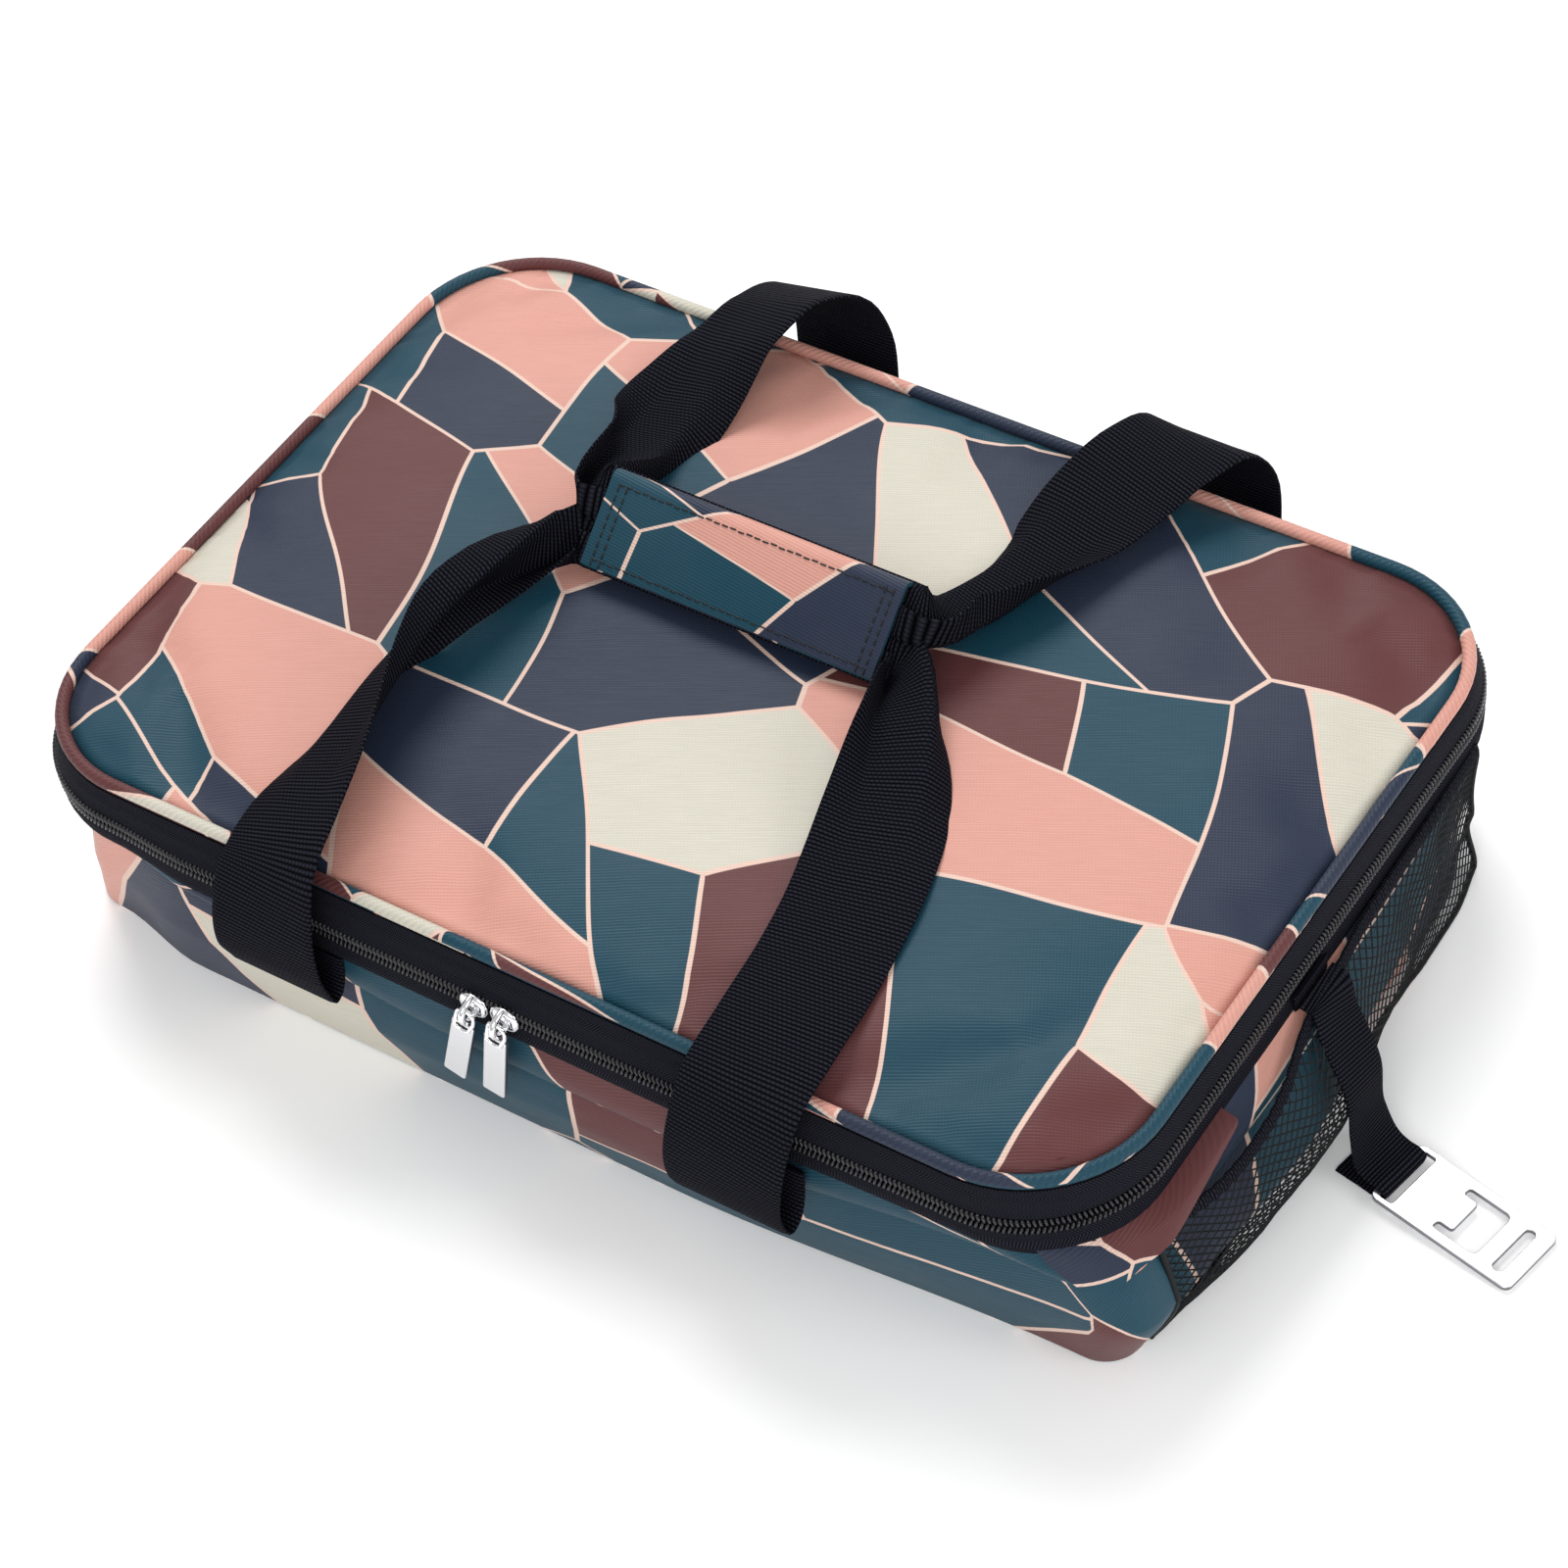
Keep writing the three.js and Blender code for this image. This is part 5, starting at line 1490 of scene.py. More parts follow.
def plate(name: str, loops: Sequence[Sequence[tuple[float, float]]], thickness: float, bevel: float,
          where: Matrix, finish: Finish, rim: Finish) -> bpy.types.Object:
    """Cut a plate with softened edges.

    Args:
        name: The piece's name.
        loops: The outline first, then each hole, in mm.
        thickness: The plate's thickness in mm.
        bevel: The radius of its softened edges in mm.
        where: The plate's place, in metres.
        finish: The finish of its broad faces.
        rim: The darker finish of its narrow edges, painted shade.

    Returns:
        The plate.
    """
    curve = bpy.data.curves.new(name, "CURVE")
    curve.dimensions, curve.fill_mode = "2D", "BOTH"
    curve.extrude, curve.offset = (thickness / 2 - bevel) * MM, -bevel * MM
    curve.bevel_depth, curve.bevel_resolution = bevel * MM, 2
    for loop in loops:
        spline = curve.splines.new("POLY")
        spline.points.add(len(loop) - 1)
        for point, (x, y) in zip(spline.points, loop):
            point.co = (x * MM, y * MM, 0.0, 1.0)
        spline.use_cyclic_u = True
    shape = bpy.data.objects.new(name, curve)
    bpy.context.scene.collection.objects.link(shape)
    graph = bpy.context.evaluated_depsgraph_get()
    mesh = bpy.data.meshes.new_from_object(shape.evaluated_get(graph), depsgraph=graph)
    bpy.data.objects.remove(shape)
    mesh.materials.clear()
    for side in (finish, rim):
        mesh.materials.append(WARDROBE.get(side))
    # Narrow edges take the second, darker finish: painted shade.
    for polygon in mesh.polygons:
        polygon.material_index = int(abs(polygon.normal.z) < 0.5)
    mesh.transform(where)
    mesh.polygons.foreach_set("use_smooth", np.ones(len(mesh.polygons), bool))
    mesh.set_sharp_from_angle(angle=math.radians(32))
    piece = bpy.data.objects.new(name, mesh)
    bpy.context.scene.collection.objects.link(piece)
    log.info("%s: %d faces", name, len(mesh.polygons))
    return piece


def tube(draft: Draft, path: Points, radius: float | Points, sides: int = 10, closed: bool = False,
         squash: float = 1.0) -> None:
    """Add a round bar along a path to a draft.

    Args:
        draft: The draft to add to.
        path: The bar's centre line in mm.
        radius: Its radius in mm, one for all or one for each point.
        sides: How many sides its section has.
        closed: Whether the bar closes on itself.
        squash: Its thickness as a share of its width.
    """
    if closed:
        tangent = unit(np.roll(path, -1, axis=0) - np.roll(path, 1, axis=0))
    else:
        tangent = unit(np.gradient(path, axis=0))
    reference = np.array([0.0, 0.0, 1.0])
    if np.abs(tangent @ reference).max() > 0.97:
        level = (0.0, 1.0, 0.0) if np.abs(tangent[:, 1]).max() < 0.9 else (1.0, 0.0, 0.0)
        reference = np.array(level)
    side = unit(np.cross(tangent, reference))
    lift = np.cross(side, tangent)
    angles = (TURN * np.arange(sides) / sides)[None, :, None]
    reach = np.broadcast_to(radius, len(path))[:, None, None]
    across = side[:, None] * np.cos(angles) + lift[:, None] * np.sin(angles) * squash
    points = path[:, None] + across * reach
    girth = np.arange(sides + 1) / sides * 3.0
    flat = crossed(travelled(path, closed), girth) * MM
    if closed:
        draft.grid(points, flat, (True, True), flip=True)
    else:
        draft.bar(points, flat)


@dataclass
class Sliders:
    """The two zip sliders with their pulls."""

    shape: BoxShape = BOX
    meeting: float = -5.0
    reach: float = 6.3
    zip_front: float = -153.0
    bail_y: float = -161.6
    depth: float = 3.1
    arch_half: float = 4.3
    arch_radius: float = 1.25
    hook_radius: float = 2.3
    length: float = 36.0
    half_width: float = 4.5
    thickness: float = 2.2
    wire: float = 0.8

    FACE = ((0.0, 5.2), (2.6, 4.9), (4.7, 3.6), (5.8, 1.2), (5.6, -1.6), (4.4, -3.9), (2.4, -5.0),
            (0.0, -5.2))
    FACE_LEVELS = ((0.0, 0.93), (0.35, 1.0), (0.9, 1.0), (1.4, 0.95), (1.85, 0.84), (2.2, 0.64), (2.4, 0.34))
    LINK = ((0.0, 1.9), (1.5, 1.6), (2.7, 0.7), (3.3, -0.6), (3.5, -3.4), (2.9, -6.2), (1.2, -7.5))
    LEANS = {"left": 16.5, "right": 11.0}

    def build(self) -> list[bpy.types.Object]:
        """Build both sliders and both pulls."""
        made = []
        for side, (name, lean) in zip((-1, 1), self.LEANS.items()):
            x = self.meeting + side * self.reach
            made += [self.slider(name, x), self.pull(name, x, lean)]
        return made

    def slider(self, name: str, x: float) -> bpy.types.Object:
        """A slider's face, hooked over the lower teeth, with a cast loop for its pull."""
        z = self.shape.parting
        back = self.zip_front - self.depth
        draft = Draft()
        ring = [*[(-a, b) for a, b in self.FACE], *self.FACE[-2:0:-1]]
        draft.bar(np.array([[(x + a * grow, back - deep, z + b * grow) for a, b in ring]
                            for deep, grow in self.FACE_LEVELS]))
        foot = back - 0.9
        hook = np.array([(x, foot, z - 4.3), (x, back + 0.4, z - 4.9), (x, self.zip_front - 1.4, z - 4.6)])
        tube(draft, hook, self.hook_radius, 10, squash=0.55)
        turn = np.linspace(0, math.pi, 15)
        stand = foot - (self.bail_y - 2.3)
        arch = [np.full(len(turn), x), foot - stand * np.sin(turn) ** 0.7, z + self.arch_half * np.cos(turn)]
        tube(draft, np.column_stack(arch), self.arch_radius, 12)
        piece = draft.build(f"zip_slider_{name}", Finish.CHROME, sharp=60)
        return dress(piece, f"slider_{name}", "chrome", f"slider_{name}")

    def pull(self, name: str, x: float, lean: float) -> bpy.types.Object:
        """A flat rectangular pull that hangs by its slot from a wire link."""
        top, bottom = -4.6, -2.4 - self.length
        blade = RoundedBox((-self.half_width, bottom), (self.half_width, top), 1.1).points()
        slot = RoundedBox((-2.6, top - 3.4), (2.6, top - 1.6), 0.7).points()[::-1]
        turned = Matrix.Translation(Vector((x, self.bail_y, self.shape.parting)) * MM)
        turned = turned @ Matrix.Rotation(math.radians(lean), 4, "Y") @ Matrix.Rotation(math.radians(90), 4, "X")
        made = plate(f"zip_pull_{name}", [blade, slot], self.thickness, 0.7, turned, Finish.CHROME,
                     Finish.SHADED_EDGE_METAL)
        loop = [*self.LINK, *[(-a, b) for a, b in reversed(self.LINK[1:])]]
        knots = [turned @ (Vector((a, b, deep)) * MM) for (a, b), deep in zip(loop, self._weave(loop))]
        draft = Draft()
        tube(draft, np.array(knots) / MM, self.wire, 10, closed=True)
        link = draft.build(f"zip_pull_link_{name}", Finish.CHROME, sharp=60)
        dress(link, f"pull_{name}", "chrome")
        return dress(made, f"pull_{name}", "chrome", f"pull_{name}")

    @staticmethod
    def _weave(loop: Sequence[tuple[float, float]]) -> list[float]:
        """Bring a link's lower end from in front of the pull through its slot."""
        return [1.5 * float(smooth((-b - 3.0) / 3.0)) for _, b in loop]


# Pockets

@dataclass
class Pockets:
    """A mesh pocket on each side: knotted net, side bindings and an elastic top edge."""

    shape: BoxShape = BOX
    front: float = -121.0
    back: float = 107.0
    low: float = 2.6
    net_top: float = 58.4
    edge_width: float = 4.0
    low_bulge: float = 4.0
    mid_bulge: float = 6.2
    top_bulge: float = 4.6
    cell: float = 4.9
    row: float = 2.05
    strand: float = 0.31
    binding: float = 1.1
    sag: float = 5.0
    sag_middle: float = -80.0
    sag_width: float = 32.0
    lifted: float = 3.4

    def build(self) -> list[bpy.types.Object]:
        """Build both pockets."""
        made = []
        for name, sign in (("right", 1), ("left", -1)):
            made += [self.net(name, sign), self.edge(name, sign)]
        return made

    def sagged(self, y: Points) -> Points:
        """Return the height of the net's top along the side. It hangs in the front half."""
        hanging = self.sag * hill(y, self.sag_middle, self.sag_width)
        return self.net_top - hanging + self.lifted * smooth((y + 52) / 40)

    def stand_off(self, y: Points, z: Points) -> Points:
        """Measure how far the pocket hangs off the wall."""
        along = 1 - np.abs((2 * y - self.front - self.back) / (self.back - self.front)) ** 8
        up = np.clip((z - self.low) / (self.sagged(y) - self.low), 0, 1)
        tight = self.top_bulge * (1 - 0.62 * smooth((y + 12) / 40))
        straight = self.low_bulge + (tight - self.low_bulge) * up
        belly = (self.mid_bulge - (self.low_bulge + self.top_bulge) / 2) * np.sin(math.pi * up)
        return 0.9 + along * (straight + belly)

    def surface(self, y: Points, z: Points, sign: int) -> Points:
        """Place points of the pocket's cloth.

        Args:
            y: Places along the side, towards the back on the right and towards the front on the left.
            z: Heights.
            sign: 1 on the right, -1 on the left.

        Returns:
            Points in mm.
        """
        off = self.stand_off(y, z)
        probe = np.stack([y, z * 0.35, np.full(y.shape, 3.0 * sign)], axis=-1)
        folds = ripple(probe, 21.0, 2.2) * 1.6 + ripple(probe, 9.0, 4.1) * 0.6
        loose = np.clip(off / 5.0, 0, 1) * np.clip((self.sagged(y) + self.edge_width - z) / 14.0, 0, 1)
        reach = self.shape.side_wall(y * sign, z, sign) + np.maximum(off + folds * loose, 0.7)
        return np.stack([sign * reach, sign * y, z], axis=-1)

    def net(self, name: str, sign: int) -> bpy.types.Object:
        """The net: zigzag strands knotted where they meet, with bound side and bottom edges."""
        columns = int((self.back - self.front) / self.cell)
        rows = 2 * int(70.0 / (2 * self.row))
        share = np.arange(rows + 1) / rows
        draft = Draft()
        step = (self.back - self.front - 2) / columns
        knots = {}
        for i, up in enumerate(share):
            shift = 0.5 if i % 2 else 0.0
            y = self.front + 1 + (np.arange(columns + 1 - i % 2) + shift) * step
            knots[i] = self.surface(y, self.low + (self.sagged(y) + 1.5 - self.low) * up, sign)
        for i in range(rows):
            here, above = knots[i], knots[i + 1]
            for k in range(len(here)):
                for other in ((k - 1, k) if i % 2 == 0 else (k, k + 1)):
                    if 0 <= other < len(above):
                        self._strand(draft, here[k], above[other], sign)
        for y in (self.front, self.back):
            z = np.linspace(self.low - 1.2, float(self.sagged(np.array(y))) + self.edge_width - 0.5, 24)
            tube(draft, self.surface(np.full(24, y), z, sign), self.binding, 8)
        y = np.linspace(self.front, self.back, 80)
        hem = self.surface(y, np.full(80, self.low), sign)
        tube(draft, hem, self.binding, 8)
        piece = draft.build(f"pocket_mesh_{name}", Finish.NET, sharp=80)
        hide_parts(f"pocket_net_{name}")
        tall = float(np.mean(self.sagged(y))) - self.low
        tall * MM
        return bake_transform(piece)

    def _strand(self, draft: Draft, start: Points, end: Points, sign: int) -> None:
        """Add one short three-sided strand."""
        tangent = unit(end - start)
        side = unit(np.cross(tangent, np.array([float(sign), 0.0, 0.0])))
        out = np.cross(side, tangent)
        corners = np.array([out * 1.1, side - out * 0.5, -side - out * 0.5]) * self.strand
        draft.bar(np.array([spot + corners for spot in (start, end)]))

    def edge(self, name: str, sign: int) -> bpy.types.Object:
        """The elastic along the pocket's top, gently gathered."""
        y = np.linspace(self.front, self.back, 90)
        zs = np.linspace(-0.6, self.edge_width, 6)
        top = self.surface(y, self.sagged(y), sign)
        rows = []
        for place, spot in zip(y, top):
            gather = 0.3 * math.sin(place * 1.3)
            reach = abs(spot[0]) + gather
            outer = [(reach + 0.9 - 1.4 * (k / 5) ** 2, spot[2] + z) for k, z in enumerate(zs)]
            inner = [(x - 1.0, z) for x, z in reversed(outer)]
            rows.append([(sign * x, sign * place, z) for x, z in [*outer, *inner]])
        heights = np.concatenate([zs, zs[::-1] + 20, zs[:1]])
        draft = Draft()
        draft.bar(np.array(rows), crossed(y, heights)[..., ::-1] * MM)
        piece = draft.build(f"pocket_elastic_{name}", Finish.ELASTIC)
        return dress(piece, f"pocket_{name}", "black_webbing", f"pocket_binding_{name}")


# Webbing

@dataclass(frozen=True)
class Station:
    """A place on a strip's route: its centre in mm, the way its width points and how far it is folded."""

    at: tuple[float, float, float]
    side: tuple[float, float, float] = (1.0, 0.0, 0.0)
    fold: float = 0.0


def raised(degrees: float) -> tuple[float, float, float]:
    """Return the strip's width direction with its edge towards +X raised."""
    angle = math.radians(degrees)
    return (math.cos(angle), 0.0, math.sin(angle))


@dataclass
class Strip:
    """A woven strip that follows a route and can fold lengthwise in three, like a letter."""

    width: float
    thickness: float = 1.6
    core: float = 0.36
    bend: float = 4.2
    samples: int = 23

    def section(self, fold: float) -> tuple[Points, Points]:
        """Return the folded section.

        Args:
            fold: From 0, flat, to 1, folded in three.

        Returns:
            Points across the strip, as sideways and upward, and the unit normals there.
        """
        across = np.linspace(-self.width / 2, self.width / 2, self.samples)
        half = self.width * self.core / 2
        heading = fold * math.pi * smooth((np.abs(across) - half) / self.bend)
        fine = np.linspace(0, self.width / 2, 120)
        angle = fold * math.pi * smooth((fine - half) / self.bend)
        step = fine[1] - fine[0]
        out = np.concatenate([[0.0], np.cumsum(np.cos(angle[:-1]) * step)])
        up = np.concatenate([[0.0], np.cumsum(np.sin(angle[:-1]) * step)])
        sign = np.sign(across)
        x = sign * np.interp(np.abs(across), fine, out)
        y = sign * np.interp(np.abs(across), fine, up)
        normal = np.column_stack([-np.sin(heading), np.cos(heading)])
        return np.column_stack([x, y]), normal

    @staticmethod
    def _evened(values: Points, reach: int = 5) -> Points:
        """Round off the sudden changes in a run of values."""
        weights = np.hanning(2 * reach + 3)[1:-1]
        padded = np.concatenate([np.full(reach, values[0]), values, np.full(reach, values[-1])])
        return np.convolve(padded, weights / weights.sum(), mode="valid")

    def loft(self, draft: Draft, stations: Sequence[Station], steps: int) -> None:
        """Add the strip to a draft, with its route cut into a number of steps."""
        knots = np.array([station.at for station in stations], float)
        shares = np.linspace(0, 1, steps + 1)
        centres, tangents = catmull_rom(knots, shares)
        spots = shares * (len(stations) - 1)
        numbers = np.arange(len(stations))
        sides = read_off(spots, numbers, [station.side for station in stations])
        sides = unit(sides - tangents * np.sum(sides * tangents, axis=1, keepdims=True))
        lifts = np.cross(sides, tangents)
        folds = self._evened(np.interp(spots, numbers, [station.fold for station in stations]))
        rows = []
        half = self.thickness / 2
        for centre, side, lift, fold in zip(centres, sides, lifts, folds):
            line, normal = self.section(float(fold))
            thin = np.full(self.samples, half)
            thin[[0, -1]] = half * 0.45
            top, bottom = line + normal * thin[:, None], line - normal * thin[:, None]
            loop = np.vstack([top, bottom[::-1]])
            rows.append(centre + loop[:, :1] * side + loop[:, 1:] * lift)
        across = np.linspace(0, self.width, self.samples)
        wrapped = np.concatenate([across, across[::-1], across[:1]])
        draft.bar(np.array(rows), crossed(travelled(centres), wrapped)[..., ::-1] * MM)


@dataclass(frozen=True)
class Leg:
    """One side of a handle: its loop and its route to the grip, in mm."""

    facing: int
    loop: tuple[float, float, float]
    over: tuple[tuple[float, float, float, float], ...]
    narrowing: tuple[tuple[float, float, float, float], ...]
    grip_edge: int
    folds: tuple[float, ...] = (0.16, 0.38, 0.62)


@dataclass(frozen=True)
class GripShape:
    """Where the grip lies and how it is rolled, in mm and degrees."""

    centre: tuple[float, float, float] = (-15.0, 22.0, 113.43)
    length: float = 121.0
    roll: float = 40.0
    inner_half: float = 16.95
    panel: float = 1.2
    inner_depth: float = 3.55
    flap_depth: float = 6.85
    web_half: float = 8.4

    def across(self) -> Points:
        """Return the direction across the broad face, towards the back."""
        angle = math.radians(self.roll)
        return np.array([0.0, math.cos(angle), math.sin(angle)])

    def out(self) -> Points:
        """Return the direction out of the broad face."""
        angle = math.radians(self.roll)
        return np.array([0.0, -math.sin(angle), math.cos(angle)])

    def place(self, along: float, across: float, out: float) -> Points:
        """Turn the grip's own coordinates into a place."""
        spot = np.array(self.centre) + across * self.across() + out * self.out()
        return spot + np.array([along, 0.0, 0.0])


GRIP = GripShape()


@dataclass
class Handles:
    """Two carrying handles, each one strip from sewn end to sewn end through the grip."""

    shape: BoxShape = BOX
    grip: GripShape = GRIP
    strip: Strip = field(default_factory=lambda: Strip(45.0))
    entry: float = 7.0
    tail_rise: float = 4.5
    steps: int = 150

    FRONT_LEFT = Leg(-1, (-92, -165, 47),
                     ((-92, -168, 62, 6), (-92, -166, 80, 14), (-93, -156, 99, 19), (-96, -134, 106, 22),
                      (-99, -102, 109, 28)),
                     ((-101, -64, 113, 38), (-98, -33, 115, 46)), 1)
    FRONT_RIGHT = Leg(-1, (95, -169, 42),
                      ((95, -171, 58, 0), (97, -168, 78, 0), (98, -157, 95, 0), (97, -134, 99, 0),
                       (94, -104, 99, 0), (89, -72, 101, 0)),
                      ((80, -38, 105, 0), (67, -8, 110, 10)), 1, (0.0, 0.22, 0.52))
    BACK_LEFT = Leg(1, (-74, 172, 44),
                    ((-75, 174, 60, 0), (-75, 173, 85, 4), (-78, 164, 105, 12), (-83, 146, 113, 22),
                     (-88, 124, 110, 26), (-91, 99, 104, 18)),
                    ((-90, 74, 104, 8), (-88, 58, 109, 8)), 1)
    BACK_RIGHT = Leg(1, (88, 172, 44),
                     ((88, 174, 60, 0), (88, 172, 86, 0), (85, 161, 104, 0), (79, 143, 108, 0),
                      (72, 118, 105, 0), (67, 93, 102, 0)),
                     ((62, 66, 104, 0), (57, 44, 109, -10)), -1)

    def build(self) -> list[bpy.types.Object]:
        """Build both handles."""
        return [
            self.handle("front", self.FRONT_LEFT, self.FRONT_RIGHT, 1),
            self.handle("back", self.BACK_LEFT, self.BACK_RIGHT, -1),
        ]

    def _tail(self, leg: Leg) -> list[Station]:
        """Return the sewn end and the lower half of the loop."""
        x, y, z = leg.loop
        sewn_z = self.shape.tape_low - 1.6
        outline = self.shape.body(sewn_z)
        sewn_y = leg.facing * (outline.half_width + (outline.bow if leg.facing < 0 else 0.0) + 1.9)
        spots = [(0.0, sewn_z + 1.5), (0.14, z + 0.45 * (sewn_z - z)), (0.4, z + self.tail_rise / 3), (0.75, z),
                 (1.0, z + self.tail_rise)]
        return [Station((x, sewn_y + (y - sewn_y) * share, height)) for share, height in spots]

    def _leg(self, leg: Leg, end: int) -> list[Station]:
        """Return a whole leg's stations, from its sewn end into the grip.

        Args:
            leg: The leg.
            end: -1 at the grip's left end, 1 at its right end.

        Returns:
            The stations.
        """
        stations = self._tail(leg)
        stations += [Station((x, y, z), raised(turn)) for x, y, z, turn in leg.over[:-1]]
        for (x, y, z, turn), fold in zip((leg.over[-1], *leg.narrowing), leg.folds):
            stations.append(Station((x, y, z), raised(turn), fold))
        edge = tuple(self.grip.across() * leg.grip_edge)
        for out, fold in ((self.entry, 0.86), (0.0, 1.0), (-self.entry, 1.0)):
            along = end * (self.grip.length / 2 + out)
            spot = self.grip.place(along, leg.facing * self.grip.web_half, 0.0)
            stations.append(Station(tuple(spot), edge, fold))
        return stations

    def handle(self, name: str, left: Leg, right: Leg, turn: int) -> bpy.types.Object:
        """Build one handle.

        Args:
            name: front or back.
            left: Its left leg.
            right: Its right leg.
            turn: -1 where the right leg's width has to point the other way to meet the left leg's.

        Returns:
            The handle.
        """
        stations = self._leg(left, -1)
        for station in reversed(self._leg(right, 1)):
            stations.append(Station(station.at, tuple(turn * part for part in station.side), station.fold))
        draft = Draft()
        self.strip.loft(draft, stations, self.steps)
        piece = draft.build(f"{name}_handle_webbing", Finish.WEBBING, sharp=60)
        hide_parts(f"web_tail_{name}_left", f"web_tail_{name}_right",
                    f"{name}_web_left", f"{name}_web_right", f"{name}_web_grip")
        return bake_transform(piece)


@dataclass
class Grip:
    """The printed wrap round both handles, its flap, its closing tapes and its black stitching."""

    grip: GripShape = GRIP
    puff: float = 1.1
    stitch: float = 3.1
    stitch_gap: float = 0.25
    thread: float = 0.34

    END_EASE = 0.995
    STITCH = ((0, 0.45, 0.5), (0.2, 0.05, 1), (0.5, -0.05, 1), (0.8, 0.05, 1), (1, 0.45, 0.5))

    def build(self) -> list[bpy.types.Object]:
        """Build the wrap, the flap, the tapes and the stitches."""
        return [self.wrap(), self.flap(), *self.closing(), self.stitches()]

    def _extrude(self, name: str, profile: Sequence[tuple[float, float]], finish: Finish, inset: float = 0.0,
                 bow: float = 0.0) -> bpy.types.Object:
        """Run a section along the grip, softened at both ends.

        Args:
            name: The piece's name.
            profile: The section, as across and out, in mm.
            finish: Its finish.
            inset: How much shorter than the grip it is at each end.
            bow: How far the broad face swells in its middle.

        Returns:
            The piece.
        """
        half = self.grip.length / 2 - inset
        alongs = np.concatenate([[-half, -half + 0.5], np.linspace(-half + 4, half - 4, 30), [half - 0.5, half]])
        section = np.array(profile)
        rows = []
        for along in alongs:
            swell = bow * (1 - (along / half) ** 2)
            ease = self.END_EASE if abs(along) >= half else 1.0
            rows.append([self.grip.place(along, u * ease, n + (swell if n > 0 else 0) * self._crown(u))
                         for u, n in section])
        draft = Draft()
        draft.bar(np.array(rows), crossed(alongs, travelled(section, closed=True)) * MM)
        return draft.build(name, finish, sharp=40)

    @staticmethod
    def _crown(across: float) -> float:
        """Return how much of the broad face's swell a place across it takes."""
        return 1 - (across / 20) ** 2

    @staticmethod
    def _thicken(line: Sequence[tuple[float, float]], thickness: float) -> list[tuple[float, float]]:
        """Turn a section's middle line into a closed band with rounded bends."""
        knots = np.array([(u, n, 0.0) for u, n in line], float)
        count = 10 * (len(knots) - 1)
        points = []
        for before, here, after in zip(knots, knots[1:], knots[2:]):
            cut = min(2.4, 0.45 * np.linalg.norm(here - before), 0.45 * np.linalg.norm(after - here))
            points += rounded(before, here, after, cut, 5)
        path = np.array([knots[0], *points, knots[-1]])
        spans = travelled(path)
        path = read_off(np.linspace(0, spans[-1], count), spans, path)
        tangent = unit(np.gradient(path, axis=0))
        normal = np.column_stack([-tangent[:, 1], tangent[:, 0]])
        outer, inner = path[:, :2] + normal * thickness / 2, path[:, :2] - normal * thickness / 2
        return [tuple(point) for point in np.vstack([outer, inner[::-1]])]

    def wrap(self) -> bpy.types.Object:
        """The printed panel over the top and round the back edge."""
        g = self.grip
        outer = g.inner_half + g.panel / 2
        high = g.inner_depth + g.panel / 2
        line = [(-outer, high), (outer, high), (outer, -high), (outer - 12, -high)]
        band = self._thicken(line, g.panel + 0.3)
        piece = self._extrude("grip_wrap_fabric", band, Finish.PRINT_GRIP, bow=self.puff)
        dress(piece, "back_handle", "grip_fabric", "grip_wrap")
        return piece

    def flap(self) -> bpy.types.Object:
        """The panel that closes the wrap from the front edge underneath."""
        g = self.grip
        outer = g.inner_half + g.panel / 2
        low = -g.flap_depth - g.panel / 2
        line = [(-outer, g.inner_depth - 0.4), (-outer, low), (outer - 0.6, low)]
        piece = self._extrude("grip_flap_fabric", self._thicken(line, g.panel), Finish.PRINT_GRIP, inset=0.2)
        dress(piece, "grip_flap", "grip_fabric", "grip_flap")
        return piece

    def closing(self) -> list[bpy.types.Object]:
        """The hook tape and the loop tape."""
        g = self.grip
        made = []
        start = g.inner_half + g.panel - 12 + 1.5
        for name, top, body, node in (
            ("grip_loop_pile", -g.inner_depth - g.panel - 0.3, "back_handle", "grip_loop_tape"),
            ("grip_hook_pile", -g.flap_depth + 0.9, "grip_flap", "grip_hook_tape"),
        ):
            profile = [(start + 0.2, top - 0.5), (start, top - 0.3), (start + 0.2, top), (start + 8.8, top),
                       (start + 9, top - 0.3), (start + 8.8, top - 0.5)]
            piece = self._extrude(name, profile, Finish.ELASTIC, inset=2.0)
            made.append(dress(piece, body, "black_tape", node))
        return made

    def stitches(self) -> bpy.types.Object:
        """Black thread: two long rows and double rows across both ends of the broad face."""
        g = self.grip
        half, edge = g.length / 2, g.inner_half + g.panel
        surface = g.inner_depth + g.panel + 0.25
        near, far = -edge + 3.4, edge - 5.2
        runs = [((-half + 3.5, near), (half - 3.0, near)), ((-half + 3.5, far), (half - 3.0, far))]
        for along in (-half + 4.2, -half + 7.6, half - 3.4, half - 6.6):
            runs.append(((along, -edge + 0.6), (along, far + (1.8 if along > 0 else 0.4))))
        draft = Draft()
        for (a0, u0), (a1, u1) in runs:
            length = math.hypot(a1 - a0, u1 - u0)
            count = int(length / (self.stitch + self.stitch_gap))
            for index in range(count):
                low = index / count
                high = low + self.stitch / (self.stitch + self.stitch_gap) / count
                spots, radii = [], []
                for part, sink, grow in self.STITCH:
                    share = low + (high - low) * part
                    along, u = a0 + (a1 - a0) * share, u0 + (u1 - u0) * share
                    wobble = 0.16 * math.sin(index * 2.4)
                    swell = self.puff * (1 - (along / half) ** 2) * self._crown(u)
                    spots.append(g.place(along, u + wobble, surface + swell - sink))
                    radii.append(self.thread * grow)
                tube(draft, np.array(spots), np.array(radii), 6)
        piece = draft.build("grip_stitching", Finish.THREAD, sharp=80)
        return dress(piece, "back_handle", "black_tape")


# Bottle opener

